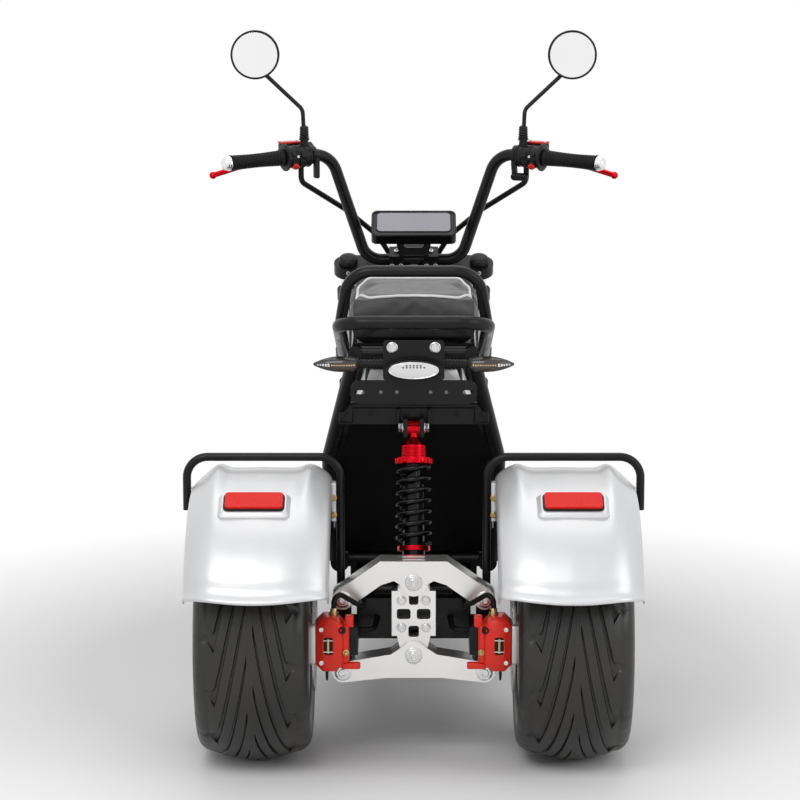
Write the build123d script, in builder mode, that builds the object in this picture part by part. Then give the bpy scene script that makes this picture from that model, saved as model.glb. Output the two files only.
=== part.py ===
"""Three-wheeled electric scooter: one steered front wheel, two driven rear wheels on a leaning linkage.

Millimetres. +Y is forward, +X is the rider's right, +Z is up, and the origin is on the ground
under the middle of the vehicle. Inside the model a place is (x, ahead, above): ahead of the rear
axle, and above the height of the axles.
"""

import os
from math import cos, pi, radians, sin, sqrt, tan

from build123d import *

# Wheels and stance
wheelbase = 1260
rear_track = 604
tyre_diameter = 477
tyre_width = 215
rim_diameter = 305
rim_half_width = 92
flange_height = 13
flange_thickness = 6
axle_diameter = 20
shaft_clearance = 0.06
seat_gap = 0.3

# Brakes
disc_diameter = 220
disc_thickness = 4
rear_disc_inset = 112
front_disc_inset = 100

# Rear mudguards and their hoops
fender_gap = 86.5
fender_width = 268
fender_front_angle = -52
fender_rear_angle = 66
fender_wall = 3
fender_lip = 7
hoop_diameter = 16
hoop_ahead = 40
hoop_above = 339

# Leaning linkage
link_half_span = 135
link_upper_above = 112
link_lower_above = -31
link_end_drop = 33
link_rear = -42
link_front = 14
link_plate = 10
pin_diameter = 16

# Frame
rail_half_width = 150
rail_diameter = 38
rail_above = 62
loop_diameter = 28
pivot_ahead = 350
pivot_above = -1.5
deck_rear = 390
deck_front_back_from_axle = 435
deck_depth = 113
sheet = 3

# Shock absorber
shock_low = (52, 106.5)
shock_high = (136, 378)
spring_diameter = 72
spring_wire = 10
spring_turns = 7

# Steering
rake = 25
fork_offset = 45
fork_half_width = 145
fork_tube_diameter = 36
slider_diameter = 50
stem_diameter = 30
head_tube_diameter = 60
bar_diameter = 25.4
bar_ahead_back_from_axle = 298
bar_above = 599.5
mirror_diameter = 105

# Derived places
wheel_radius = tyre_diameter / 2
axle_z = wheel_radius
fender_radius = wheel_radius + fender_gap
rear_wheel_x = rear_track / 2
rear_reach = (fender_radius + fender_lip) * sin(radians(fender_rear_angle))
front_reach = wheelbase + wheel_radius
rear_axle_y = (rear_reach - front_reach) / 2
deck_front = wheelbase - deck_front_back_from_axle
bar_ahead = wheelbase - bar_ahead_back_from_axle
axle_radius = axle_diameter / 2
axle_bore = axle_radius + shaft_clearance
pin_radius = pin_diameter / 2
pin_bore = pin_radius + shaft_clearance
rim_radius = rim_diameter / 2
flange_radius = rim_radius + flange_height
link_slot_rear = link_rear + link_plate
link_slot_front = link_front - link_plate
upright_rear = link_slot_rear + seat_gap
upright_front = link_slot_front - seat_gap
rail_radius = rail_diameter / 2
loop_radius = loop_diameter / 2


def spot(x, ahead, above):
    """The point of the model's frame at a place on the scooter."""
    return (x, rear_axle_y + ahead, axle_z + above)


def rear_view(ahead):
    """A sketch plane seen from behind, x to the right and y up, facing the rear."""
    return Plane(origin=spot(0, ahead, 0), x_dir=(1, 0, 0), z_dir=(0, -1, 0))


def side_view(x):
    """A sketch plane seen from the right, with coordinates (ahead, above), facing +X."""
    return Plane(origin=spot(x, 0, 0), x_dir=(0, 1, 0), z_dir=(1, 0, 0))


def top_view(above):
    """A sketch plane seen from above, with coordinates (x, ahead)."""
    return Plane(origin=spot(0, 0, above), x_dir=(1, 0, 0), z_dir=(0, 0, 1))


def wheel_plane(x, ahead):
    """A sketch plane through a wheel's axle, with coordinates (across, radius)."""
    return Plane(origin=spot(x, ahead, 0), x_dir=(1, 0, 0), z_dir=(0, -1, 0))


def across(ahead, above):
    """The axis along X through a place."""
    return Axis(spot(0, ahead, above), (1, 0, 0))


def bent_tube(points, bends, diameter):
    """A round bar along straight runs joined by bends."""
    with BuildPart() as tube:
        with BuildLine():
            path = FilletPolyline(*points, radius=bends)
        with BuildSketch(Plane(origin=path @ 0, z_dir=path % 0)):
            Circle(diameter / 2)
        sweep(path=path)
    return tube.part


def straight_bar(start, end, diameter):
    """A round bar between two points."""
    with BuildPart() as bar:
        axis = Vector(*end) - Vector(*start)
        with BuildSketch(Plane(origin=start, z_dir=axis)):
            Circle(diameter / 2)
        extrude(amount=axis.length)
    return bar.part


def block(x, ahead, above):
    """A box between two limits along each direction."""
    with BuildPart() as box:
        middle = [sum(limits) / 2 for limits in (x, ahead, above)]
        with Locations(spot(*middle)):
            Box(x[1] - x[0], ahead[1] - ahead[0], above[1] - above[0])
    return box.part


def save(part, name):
    """Labels a finished piece and writes it to its own file."""
    part.label = name
    export_step(part, f"parts/{name}.step")


os.makedirs("parts", exist_ok=True)


# Wheels: tyre, rim and brake disc
bead_x = rim_half_width - seat_gap
bead_radius = rim_radius + seat_gap / 2
bulge_radius = bead_radius + 40
shoulder = (80, wheel_radius - 16.5)
tyre_half = tyre_width / 2
tread_thickness = 14.5


def tyre(x, ahead):
    """A low tyre: bead, bulging wall, round shoulder and crown, hollow inside."""
    wall_top = flange_radius + 2
    inner_top = (shoulder[0] - 10, shoulder[1] - 12)
    inner_crown = wheel_radius - tread_thickness
    heel = bead_x - 14
    with BuildPart() as ring:
        with BuildSketch(wheel_plane(x, ahead)):
            with BuildLine():
                Line((-bead_x, bead_radius), (-bead_x, wall_top))
                ThreePointArc((-bead_x, wall_top), (-tyre_half, bulge_radius), (-shoulder[0], shoulder[1]))
                ThreePointArc((-shoulder[0], shoulder[1]), (0, wheel_radius), shoulder)
                ThreePointArc(shoulder, (tyre_half, bulge_radius), (bead_x, wall_top))
                Line((bead_x, wall_top), (bead_x, bead_radius))
                Line((bead_x, bead_radius), (heel, bead_radius))
                Line((heel, bead_radius), (heel, wall_top))
                ThreePointArc((heel, wall_top), (tyre_half - 13, bulge_radius - 2), inner_top)
                ThreePointArc(inner_top, (0, inner_crown), (-inner_top[0], inner_top[1]))
                ThreePointArc((-inner_top[0], inner_top[1]), (13 - tyre_half, bulge_radius - 2), (-heel, wall_top))
                Line((-heel, wall_top), (-heel, bead_radius))
                Line((-heel, bead_radius), (-bead_x, bead_radius))
            make_face()
        revolve(axis=across(ahead, 0))
    return ring.part


rim_edge = rim_half_width + flange_thickness
well_radius = rim_radius - 13
well_half = 48
barrel_wall = 8
motor_radius = well_radius - 22
motor_half = 62
motor_boss = 28
front_hub_radius = 32
spoke_count = 5
spoke_width = 34
spoke_depth = 30


def barrel_outline():
    """Points across the rim's outside, from one edge to the other: flange, bead seat and drop well."""
    half = [
        (rim_edge, flange_radius),
        (rim_half_width, flange_radius),
        (rim_half_width, rim_radius),
        (well_half + 12, rim_radius),
        (well_half, well_radius),
    ]
    return half + [(-x, r) for x, r in reversed(half)]


def barrel_inside():
    """Points across the rim's inside, from one edge to the other."""
    half = [
        (-rim_edge, rim_radius - 2),
        (barrel_wall - rim_half_width - 8, rim_radius - barrel_wall),
        (-well_half - 14, rim_radius - barrel_wall),
        (-well_half - 2, well_radius - barrel_wall),
    ]
    return half + [(-x, r) for x, r in reversed(half)]


def motor_wheel(side):
    """A rear rim cast round its hub motor, with a boss for the brake disc on its inner side."""
    disc_seat = rear_disc_inset - disc_thickness / 2
    drum = [
        (-disc_seat, axle_bore),
        (-disc_seat, motor_boss + 10),
        (-motor_half, motor_boss + 10),
        (-motor_half, motor_radius - 8),
        (8 - motor_half, motor_radius),
        (motor_half - 8, motor_radius),
        (motor_half, motor_radius - 8),
        (motor_half - 4, motor_radius - 22),
        (motor_half - 4, motor_boss + 14),
        (motor_half + 8, motor_boss),
        (motor_half + 8, axle_bore),
    ]
    with BuildPart() as wheel:
        with BuildSketch(wheel_plane(side * rear_wheel_x, 0)):
            with BuildLine():
                Polyline(*[(side * x, r) for x, r in barrel_outline() + barrel_inside()], close=True)
            make_face()
            with BuildLine():
                Polyline(*[(side * x, r) for x, r in drum], close=True)
            make_face()
            with Locations((0, (motor_radius + well_radius) / 2 - barrel_wall / 2)):
                Rectangle(36, well_radius - motor_radius)
        revolve(axis=across(0, 0))
    return wheel.part


def spoked_wheel(ahead):
    """The front rim: a barrel, five spokes and a hub with a boss for the brake disc on the left."""
    disc_seat = front_disc_inset - disc_thickness / 2
    hub_right = 70
    with BuildPart() as wheel:
        with BuildSketch(wheel_plane(0, ahead)):
            with BuildLine():
                Polyline(*barrel_outline(), *barrel_inside(), close=True)
            make_face()
        revolve(axis=across(ahead, 0))
        with BuildSketch(side_view(-disc_seat)):
            with Locations((ahead, 0)):
                Circle(front_hub_radius)
        extrude(amount=disc_seat + hub_right)
        with BuildSketch(side_view(-spoke_depth / 2)):
            with Locations((ahead, 0)):
                with PolarLocations((front_hub_radius + well_radius) / 2 - 8, spoke_count, start_angle=90):
                    Rectangle(well_radius - front_hub_radius, spoke_width)
        extrude(amount=spoke_depth)
        with Locations(Plane(origin=spot(0, ahead, 0), z_dir=(1, 0, 0))):
            Cylinder(axle_bore, 4 * hub_right, mode=Mode.SUBTRACT)
    return wheel.part


def brake_disc(x, ahead):
    """A drilled brake disc centred on x."""
    with BuildPart() as disc:
        with BuildSketch(side_view(x - disc_thickness / 2)):
            with Locations((ahead, 0)):
                Circle(disc_diameter / 2)
                Circle(motor_boss, mode=Mode.SUBTRACT)
                with PolarLocations(disc_diameter / 2 - 40, 6):
                    Circle(13, mode=Mode.SUBTRACT)
                with PolarLocations(disc_diameter / 2 - 14, 24):
                    Circle(3.5, mode=Mode.SUBTRACT)
        extrude(amount=disc_thickness)
    return disc.part


for side, hand in ((-1, "left"), (1, "right")):
    save(tyre(side * rear_wheel_x, 0), f"rear_tyre_{hand}")
    save(motor_wheel(side), f"rear_motor_wheel_{hand}")
    save(brake_disc(side * (rear_wheel_x - rear_disc_inset), 0), f"rear_disc_{hand}")
save(tyre(0, wheelbase), "front_tyre")
save(spoked_wheel(wheelbase), "front_rim")
save(brake_disc(-front_disc_inset, wheelbase), "front_disc")


# Leaning linkage: upper and lower arms, centre hub, uprights and pivot pins
link_end_radius = 20
link_hub_radius = 25
upper_end_above = link_upper_above - link_end_drop
lower_end_above = link_lower_above - link_end_drop
slot_depth = 23
hub_half_width = 42
hub_bolts = ((-23, 75), (23, 75), (-23, 22), (23, 22))


def link(centre_above, end_above, outline):
    """A billet arm on three pivots, slotted for the centre hub and for the two uprights."""
    with BuildPart() as arm:
        with BuildSketch(rear_view(link_front)):
            with BuildLine():
                Polyline(*outline, *[(-x, z) for x, z in reversed(outline)], close=True)
            make_face()
            with Locations((0, centre_above)):
                Circle(link_hub_radius + 2)
            with Locations((-link_half_span, end_above), (link_half_span, end_above)):
                Circle(link_end_radius)
            with Locations((0, centre_above), (-link_half_span, end_above), (link_half_span, end_above)):
                Circle(pin_bore, mode=Mode.SUBTRACT)
        extrude(amount=link_front - link_rear)
        with BuildSketch(rear_view(link_slot_front)):
            with Locations((0, centre_above)):
                Rectangle(2 * hub_half_width + 4, 2 * link_hub_radius + 6)
            with Locations((-link_half_span, end_above), (link_half_span, end_above)):
                Rectangle(2 * slot_depth, 2.4 * link_end_radius + 10)
        extrude(amount=link_slot_front - link_slot_rear, mode=Mode.SUBTRACT)
    return arm.part


upper_outline = [
    (0, link_upper_above + 41),
    (64, link_upper_above + 41),
    (link_half_span + 10, upper_end_above + 17),
    (link_half_span, upper_end_above - 20),
    (link_half_span - 14, upper_end_above - 14),
    (62, link_upper_above - 5),
    (38, link_upper_above + 3),
    (26, link_upper_above - 4),
]
lower_outline = [
    (12, link_lower_above + 24),
    (44, link_lower_above + 2),
    (link_half_span, lower_end_above + 20),
    (link_half_span, lower_end_above - 20),
    (52, link_lower_above - 44),
]
save(link(link_upper_above, upper_end_above, upper_outline), "upper_link")
save(link(link_lower_above, lower_end_above, lower_outline), "lower_link")

with BuildPart() as link_hub:
    with BuildSketch(rear_view(upright_front)):
        with Locations((0, 49)):
            Rectangle(2 * hub_half_width, 88)
        for centre in (link_upper_above, link_lower_above):
            with Locations((0, centre)):
                Circle(link_hub_radius)
                Circle(pin_bore, mode=Mode.SUBTRACT)
        with BuildLine():
            Polyline((-22, link_upper_above + 8), (22, link_upper_above + 8), (34, 84), (-34, 84), close=True)
        make_face()
        with BuildLine():
            Polyline((-22, link_lower_above - 8), (22, link_lower_above - 8), (34, 14), (-34, 14), close=True)
        make_face()
        for centre in (link_upper_above, link_lower_above):
            with Locations((0, centre)):
                Circle(pin_bore, mode=Mode.SUBTRACT)
        with Locations((-19, 48), (19, 48)):
            RectangleRounded(26, 20, 5, mode=Mode.SUBTRACT)
        with Locations((0, 77)):
            RectangleRounded(18, 22, 5, mode=Mode.SUBTRACT)
        with Locations((0, 14)):
            RectangleRounded(20, 22, 5, mode=Mode.SUBTRACT)
    extrude(amount=upright_front - upright_rear)
save(link_hub.part, "link_hub")

upright_half = 16
axle_boss_diameter = 44
stub_end = rear_wheel_x + motor_half + 26
hub_face = rear_wheel_x - rear_disc_inset + disc_thickness / 2
caliper_inner = 121
caliper_ahead = (-disc_diameter / 2 - 30, 34 - disc_diameter / 2)
caliper_above = (-37, 65)
hoop_foot = (28, 46)

with BuildPart() as uprights:
    with BuildSketch(rear_view(upright_front)):
        with Locations((link_half_span, (upper_end_above + lower_end_above) / 2)):
            Rectangle(2 * upright_half, upper_end_above - lower_end_above)
        for end in (upper_end_above, lower_end_above):
            with Locations((link_half_span, end)):
                Circle(link_end_radius - 2)
                Circle(pin_bore, mode=Mode.SUBTRACT)
    extrude(amount=upright_front - upright_rear)
    with BuildSketch(rear_view(upright_front)):
        for end in (upper_end_above, lower_end_above):
            with Locations((link_half_span, end)):
                Circle(pin_bore)
    extrude(amount=upright_front - upright_rear, mode=Mode.SUBTRACT)
    add(straight_bar(spot(112, 0, 0), spot(175, 0, 0), axle_boss_diameter))
    add(straight_bar(spot(112, 0, 0), spot(hub_face - disc_thickness - seat_gap, 0, 0), axle_diameter + 12))
    add(straight_bar(spot(112, 0, 0), spot(stub_end, 0, 0), axle_diameter))
    add(block((105, caliper_inner), (caliper_ahead[1] - 30, 0), (-12, 40)))
    add(block((link_half_span - 12, link_half_span + 17), (0, hoop_ahead + 9), hoop_foot))
    mirror(about=Plane.YZ)
save(uprights.part, "uprights")

pin_places = [(0, link_upper_above), (0, link_lower_above)]
for x in (-link_half_span, link_half_span):
    pin_places += [(x, upper_end_above), (x, lower_end_above)]
pin_head = 7
with BuildPart() as pivot_pins:
    with BuildSketch(rear_view(link_front)):
        with Locations(*pin_places):
            Circle(pin_radius)
    extrude(amount=link_front - link_rear)
    with BuildSketch(rear_view(link_rear)):
        with Locations(*pin_places):
            RegularPolygon(pin_radius + 5, 6)
    extrude(amount=pin_head)
    with BuildSketch(rear_view(link_front + pin_head)):
        with Locations(*pin_places):
            RegularPolygon(pin_radius + 5, 6)
    extrude(amount=pin_head)
    add(straight_bar(spot(-130, pivot_ahead, pivot_above), spot(130, pivot_ahead, pivot_above), pin_diameter))
    add(straight_bar(spot(-26, *shock_low), spot(26, *shock_low), 12))
    add(straight_bar(spot(-26, *shock_high), spot(26, *shock_high), 12))
save(pivot_pins.part, "pivot_pins")


# Rear brake calipers, on the uprights behind the axles
disc_slot = disc_thickness + 4
rear_disc_x = rear_wheel_x - rear_disc_inset
with BuildPart() as rear_calipers:
    with BuildSketch(side_view(caliper_inner)):
        with Locations(((caliper_ahead[0] + caliper_ahead[1]) / 2, (caliper_above[0] + caliper_above[1]) / 2)):
            RectangleRounded(caliper_ahead[1] - caliper_ahead[0], caliper_above[1] - caliper_above[0], 22)
    extrude(amount=rear_disc_x + disc_slot / 2 + 9 - caliper_inner)
    with BuildSketch(side_view(rear_disc_x - disc_slot / 2)):
        Circle(disc_diameter / 2 + 3)
    extrude(amount=disc_slot, mode=Mode.SUBTRACT)
    with Locations(spot(caliper_inner + 40, caliper_ahead[0] + 8, 14)):
        Box(17, 40, 34, mode=Mode.SUBTRACT)
    mirror(about=Plane.YZ)
save(rear_calipers.part, "rear_calipers")


# Swingarm, between the frame's pivot and the linkage's hub
arm_half = 95
pivot_half = 115.7
ear_inner = 12
ear_outer = 20
eye_bore = 6 + shaft_clearance
with BuildPart() as swingarm:
    add(block((-hub_half_width, hub_half_width), (upright_front, 44), (8, 78)))
    add(block((-arm_half - 15, arm_half + 15), (44, 76), (-20, 60)))
    for side in (-1, 1):
        inner, outer = sorted((side * (arm_half - 15), side * (arm_half + 15)))
        add(block((inner, outer), (60, pivot_ahead - 6), (-24, 24)))
        ear = sorted((side * ear_inner, side * ear_outer))
        add(block(ear, (44, 76), (50, shock_low[1] + 12)))
    add(straight_bar(spot(-pivot_half, pivot_ahead, pivot_above), spot(pivot_half, pivot_ahead, pivot_above), 44))
    with BuildSketch(side_view(-pivot_half)):
        with Locations((pivot_ahead, pivot_above)):
            Circle(pin_bore)
    extrude(amount=2 * pivot_half, mode=Mode.SUBTRACT)
    with BuildSketch(side_view(-ear_outer)):
        with Locations(shock_low):
            Circle(eye_bore)
    extrude(amount=2 * ear_outer, mode=Mode.SUBTRACT)
save(swingarm.part, "swingarm")


# Shock absorber, leaning forward from the swingarm to the frame's rear cross-member
shock_axis = Vector(0, shock_high[0] - shock_low[0], shock_high[1] - shock_low[1])
shock_length = shock_axis.length
shock_frame = Plane(origin=spot(0, *shock_low), x_dir=(1, 0, 0), z_dir=shock_axis)
perch_at = 44
perch_thick = 9
spring_low = perch_at + perch_thick
spring_high = shock_length - 72
collar_thick = 12
eye_half = ear_inner - seat_gap
eye_radius = 15


def shock_disc(low, high, radius, top_radius=None):
    """A round or tapered length of the shock absorber, between two distances along it."""
    with BuildPart() as disc:
        with BuildSketch(shock_frame.offset(low)):
            Circle(radius)
        if top_radius:
            with BuildSketch(shock_frame.offset(high)):
                Circle(top_radius)
            loft()
        else:
            extrude(amount=high - low)
    return disc.part


def shock_eye(place):
    """A bushed eye at one end of the shock absorber."""
    with BuildPart() as eye:
        with BuildSketch(side_view(-eye_half)):
            with Locations(place):
                Circle(eye_radius)
                Circle(eye_bore, mode=Mode.SUBTRACT)
        extrude(amount=2 * eye_half)
    return eye.part


eye_trim_low = straight_bar(spot(-eye_half, *shock_low), spot(eye_half, *shock_low), 2 * eye_bore)
eye_trim_high = straight_bar(spot(-eye_half, *shock_high), spot(eye_half, *shock_high), 2 * eye_bore)
with BuildPart() as shock_damper:
    add(shock_eye(shock_low))
    add(shock_disc(0, perch_at, 10))
    add(shock_disc(perch_at - 14, perch_at, 22))
    add(shock_disc(perch_at, spring_high - 40, 21))
    add(shock_disc(spring_high - 40, spring_high, 13))
    add(eye_trim_low, mode=Mode.SUBTRACT)
save(shock_damper.part, "shock_damper")

with BuildPart() as shock_collars:
    add(shock_disc(spring_high, spring_high + collar_thick, spring_diameter / 2 - 2))
    add(shock_disc(spring_high + collar_thick, shock_length - 36, 25))
    add(shock_disc(shock_length - 36, shock_length - 20, 22, 11))
    add(shock_disc(shock_length - 20, shock_length, 10))
    add(shock_eye(shock_high))
    add(eye_trim_high, mode=Mode.SUBTRACT)
    add(shock_disc(perch_at, perch_at + perch_thick, spring_diameter / 2 - 4))
    add(shock_disc(perch_at, perch_at + perch_thick, 21 + shaft_clearance), mode=Mode.SUBTRACT)
save(shock_collars.part, "shock_collars")

steps_per_turn = 12
coil_radius = (spring_diameter - spring_wire) / 2
coil_low = spring_low + spring_wire / 2 + seat_gap
coil_high = spring_high - spring_wire / 2 - seat_gap
coil_points = []
for step in range(spring_turns * steps_per_turn + 1):
    turn = 2 * pi * step / steps_per_turn
    rise = coil_low + (coil_high - coil_low) * step / (spring_turns * steps_per_turn)
    coil_points.append(shock_frame.from_local_coords((coil_radius * cos(turn), coil_radius * sin(turn), rise)))
with BuildPart() as shock_spring:
    with BuildLine():
        coil = Polyline(*coil_points)
    with BuildSketch(Plane(origin=coil @ 0, z_dir=coil % 0)):
        RegularPolygon(spring_wire / 2, 8)
    sweep(path=coil, transition=Transition.RIGHT)
save(shock_spring.part, "shock_spring")


# Frame: rails, head tube, seat loops, cross-members and the swingarm's lugs
head_low = 445
head_high = 610
rail_bend = wheelbase - 380
loop_corner = (92, 530)
loop_wide = (168, 222, 300)
seat_rail_x = 112
seat_rail_front = (468, 470)
loop_foot_front = 520
tail_bar = (96, 529)
tail_bar_diameter = 22
cross_ahead = (152, 180)
cross_above = (381, 421)
lug = (116, 128)


def steer_point(along, forward=0, x=0):
    """A point by its distance up the steering axis from the axle's level, and forward of it."""
    lean = radians(rake)
    ahead = wheelbase + (forward - fork_offset) * cos(lean) - along * sin(lean)
    above = (forward - fork_offset) * sin(lean) + along * cos(lean)
    return spot(x, ahead, above)


steer_up = (0, -sin(radians(rake)), cos(radians(rake)))
frame_bars = [straight_bar(steer_point(head_low), steer_point(head_high), head_tube_diameter)]
for side in (-1, 1):
    rail = [
        spot(side * rail_half_width, 330, rail_above),
        spot(side * rail_half_width, rail_bend, rail_above),
        steer_point(520, -10, side * 30),
    ]
    frame_bars.append(bent_tube(rail, [110], rail_diameter))
    upright = [
        spot(side * (rail_half_width + 10), 340, rail_above + 8),
        spot(side * loop_wide[0], loop_wide[1], loop_wide[2]),
        spot(side * seat_rail_x, *loop_corner),
    ]
    frame_bars.append(bent_tube(upright, [150], loop_diameter))
    seat_rail = [
        spot(side * seat_rail_x, loop_corner[0] - 7, loop_corner[1] + 1),
        spot(side * seat_rail_x, *seat_rail_front),
        spot(side * (rail_half_width - 4), loop_foot_front, rail_above + 8),
    ]
    frame_bars.append(bent_tube(seat_rail, [60], loop_diameter))
    frame_bars.append(block(sorted((side * lug[0], side * lug[1])), (325, 375), (-26, rail_above)))
    ear = sorted((side * ear_inner, side * ear_outer))
    frame_bars.append(block(ear, (shock_high[0] - 16, cross_ahead[0] + 1), (shock_high[1] - 16, shock_high[1] + 20)))
crossbars = (
    (rail_half_width, 365, rail_above, 32),
    (rail_half_width, wheelbase - 410, rail_above, 32),
    (seat_rail_x, *tail_bar, tail_bar_diameter),
    (84, rail_bend + 62, 275, 26),
)
for half, ahead, above, diameter in crossbars:
    frame_bars.append(straight_bar(spot(-half, ahead, above), spot(half, ahead, above), diameter))
frame_bars.append(block((-146, 146), cross_ahead, cross_above))
with BuildPart() as frame:
    for bar in frame_bars:
        add(bar)
    with BuildSketch(Plane(origin=steer_point(head_low - 5), x_dir=(1, 0, 0), z_dir=steer_up)):
        Circle(stem_diameter / 2 + shaft_clearance)
    extrude(amount=head_high - head_low + 10, mode=Mode.SUBTRACT)
    with BuildSketch(side_view(-lug[1])):
        with Locations((pivot_ahead, pivot_above)):
            Circle(pin_bore)
    extrude(amount=2 * lug[1], mode=Mode.SUBTRACT)
    with BuildSketch(side_view(-ear_outer)):
        with Locations(shock_high):
            Circle(eye_bore)
    extrude(amount=2 * ear_outer, mode=Mode.SUBTRACT)
save(frame.part, "frame")


# Deck: battery tray between the rails, battery and footboard
deck_half = rail_half_width - rail_radius - 3
deck_top = rail_above + rail_radius
with BuildPart() as battery_tray:
    add(block((-deck_half, deck_half), (deck_rear, deck_front), (deck_top - deck_depth, deck_top)))
    inside = (-deck_half + sheet, deck_half - sheet)
    add(
        block(inside, (deck_rear + sheet, deck_front - sheet), (deck_top - deck_depth + sheet, deck_top + 1)),
        mode=Mode.SUBTRACT,
    )
    for side in (-1, 1):
        edge = sorted((side * (deck_half - 1), side * (rail_half_width - rail_radius - seat_gap)))
        add(block(edge, (deck_rear + 20, deck_front - 40), (rail_above - 2, rail_above + 2)))
save(battery_tray.part, "battery_tray")
save(
    block(
        (-deck_half + 12, deck_half - 12),
        (deck_rear + 14, deck_front - 14),
        (deck_top - deck_depth + sheet + seat_gap, deck_top - 6),
    ),
    "battery",
)

board_low = deck_top + seat_gap
board_high = board_low + 14
board_rear = loop_foot_front + 20
board_shoulder = rail_bend - 88
board_front = wheelbase - 412
groove_pitch = 23
groove_width = 7
groove_depth = 3
groove_length = 290
groove_count = max(1, int((board_shoulder - board_rear - 20) / groove_pitch))
with BuildPart() as footboard:
    with BuildSketch(top_view(board_low)):
        with BuildLine():
            Polyline(
                (-172, board_rear), (172, board_rear), (172, board_shoulder), (104, board_shoulder + 10),
                (92, board_front), (-92, board_front), (-104, board_shoulder + 10), (-172, board_shoulder),
                close=True,
            )
        make_face()
    extrude(amount=board_high - board_low)
    with BuildSketch(top_view(board_high - groove_depth)):
        with Locations((0, (board_rear + board_shoulder) / 2)):
            with GridLocations(0, groove_pitch, 1, groove_count):
                SlotOverall(groove_length, groove_width)
    extrude(amount=2 * groove_depth, mode=Mode.SUBTRACT)
save(footboard.part, "footboard")


# Body panels under the seat
cover_sections = (
    # above, rear end, front end, half width
    (deck_top + seat_gap, 362, 500, 136),
    (300, 250, 474, 146),
    (452, 170, 452, 97),
)


def cover_block(inset, rear_extra, rise):
    """The under-seat body as a closed block, drawn in by an inset."""
    with BuildPart() as body:
        for index, (above, rear, front, half) in enumerate(cover_sections):
            level = above + rise * (index - 1)
            with BuildSketch(top_view(level)):
                with Locations((0, (rear - rear_extra + front - inset) / 2)):
                    Rectangle(2 * (half - inset), front - inset - rear + rear_extra)
        loft(ruled=True)
    return body.part


with BuildPart() as body_cover:
    add(cover_block(0, 0, 0))
    add(cover_block(sheet, 30, 0.01), mode=Mode.SUBTRACT)
save(body_cover.part, "body_cover")

panel_line = ((176, cross_above[0]), (238, 300), (352, 80.5))
panel_outline = ((126, cross_above[0]), (149, 300), (143, 80.5))
with BuildPart() as rear_panel:
    with BuildSketch(side_view(-160)):
        with BuildLine():
            Polyline(*panel_line, *[(a + sheet + 0.6, b) for a, b in reversed(panel_line)], close=True)
        make_face()
    extrude(amount=320)
    with BuildSketch(rear_view(400)):
        with BuildLine():
            Polyline(*panel_outline, *[(-x, z) for x, z in reversed(panel_outline)], close=True)
        make_face()
    extrude(amount=400, mode=Mode.INTERSECT)
save(rear_panel.part, "rear_panel")


# Seat: pan on the seat rails and a stepped cushion
rail_slope = (seat_rail_front[1] - loop_corner[1]) / (seat_rail_front[0] - loop_corner[0] + 7)
seat_half = 124
seat_rear = 110
seat_front = 716
pan_thick = 6


def seat_line(ahead):
    """The height of the seat pan's underside."""
    drop = min(ahead, 470) - loop_corner[0] + 7
    return loop_corner[1] + 1 + rail_slope * drop + loop_radius * 1.02 + seat_gap - 0.07 * max(ahead - 470, 0)


pan_stations = (seat_rear, 470, seat_front - 30)
pan_low = [(a, seat_line(a)) for a in pan_stations]
pan_high = [(a, b + pan_thick) for a, b in reversed(pan_low)]
plan = ((seat_half, seat_rear - 20), (seat_half, 560), (88, seat_front + 10))


def seat_plan():
    """The seat's outline from above, through its whole height."""
    with BuildPart() as body:
        with BuildSketch(top_view(400)):
            with BuildLine():
                Polyline(*plan, *[(-x, a) for x, a in reversed(plan)], close=True)
            make_face()
        extrude(amount=300)
    return body.part


seat_plan_block = seat_plan()
with BuildPart() as seat_pan:
    with BuildSketch(side_view(-seat_half + 8)):
        with BuildLine():
            Polyline(*pan_low, *pan_high, close=True)
        make_face()
    extrude(amount=2 * seat_half - 16)
    add(seat_plan_block, mode=Mode.INTERSECT)
save(seat_pan.part, "seat_pan")

cushion_low = [(a, b + pan_thick + seat_gap) for a, b in pan_low]
cushion_points = cushion_low + [
    (seat_front, seat_line(seat_front) + 30),
    (seat_front - 12, 546),
    (530, 542),
    (462, 620),
    (405, 633),
    (160, 629),
    (seat_rear + 6, 600),
]
cushion_bends = [4, 40, 12, 24, 30, 50, 30, 30, 30, 12]
with BuildPart() as seat_cushion:
    with BuildSketch(side_view(-seat_half)):
        with BuildLine():
            FilletPolyline(*cushion_points, radius=cushion_bends, close=True)
        make_face()
    extrude(amount=2 * seat_half)
    add(seat_plan_block, mode=Mode.INTERSECT)
save(seat_cushion.part, "seat_cushion")


# Rear grab rail and passenger's backrest hoop
rail_tube = 26
backrest_tube = 22
grab_x = 141
grab_rear = -25
grab_above = 608
grab_bend = (120, 566)
grab_start = 340
rail_side = seat_rail_x + loop_radius + rail_tube / 2 + seat_gap
grab_low = seat_line(grab_start) - loop_radius - seat_gap
rail_route = [
    spot(-rail_side, grab_start, grab_low),
    spot(-grab_x, *grab_bend),
    spot(-grab_x, grab_rear, grab_above),
    spot(grab_x, grab_rear, grab_above),
    spot(grab_x, *grab_bend),
    spot(rail_side, grab_start, grab_low),
]
backrest_ahead = 60
backrest_foot = grab_above + (grab_bend[1] - grab_above) * (backrest_ahead - grab_rear) / (grab_bend[0] - grab_rear)
backrest_route = [
    spot(-grab_x, backrest_ahead, backrest_foot),
    spot(-122, 18, 699.5),
    spot(122, 18, 699.5),
    spot(grab_x, backrest_ahead, backrest_foot),
]
rail_bar = bent_tube(rail_route, [80, 55, 55, 80], rail_tube)
backrest_bar = bent_tube(backrest_route, [52, 52], backrest_tube)
with BuildPart() as grab_rail:
    add(rail_bar)
    add(backrest_bar)
save(grab_rail.part, "grab_rail")


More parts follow.
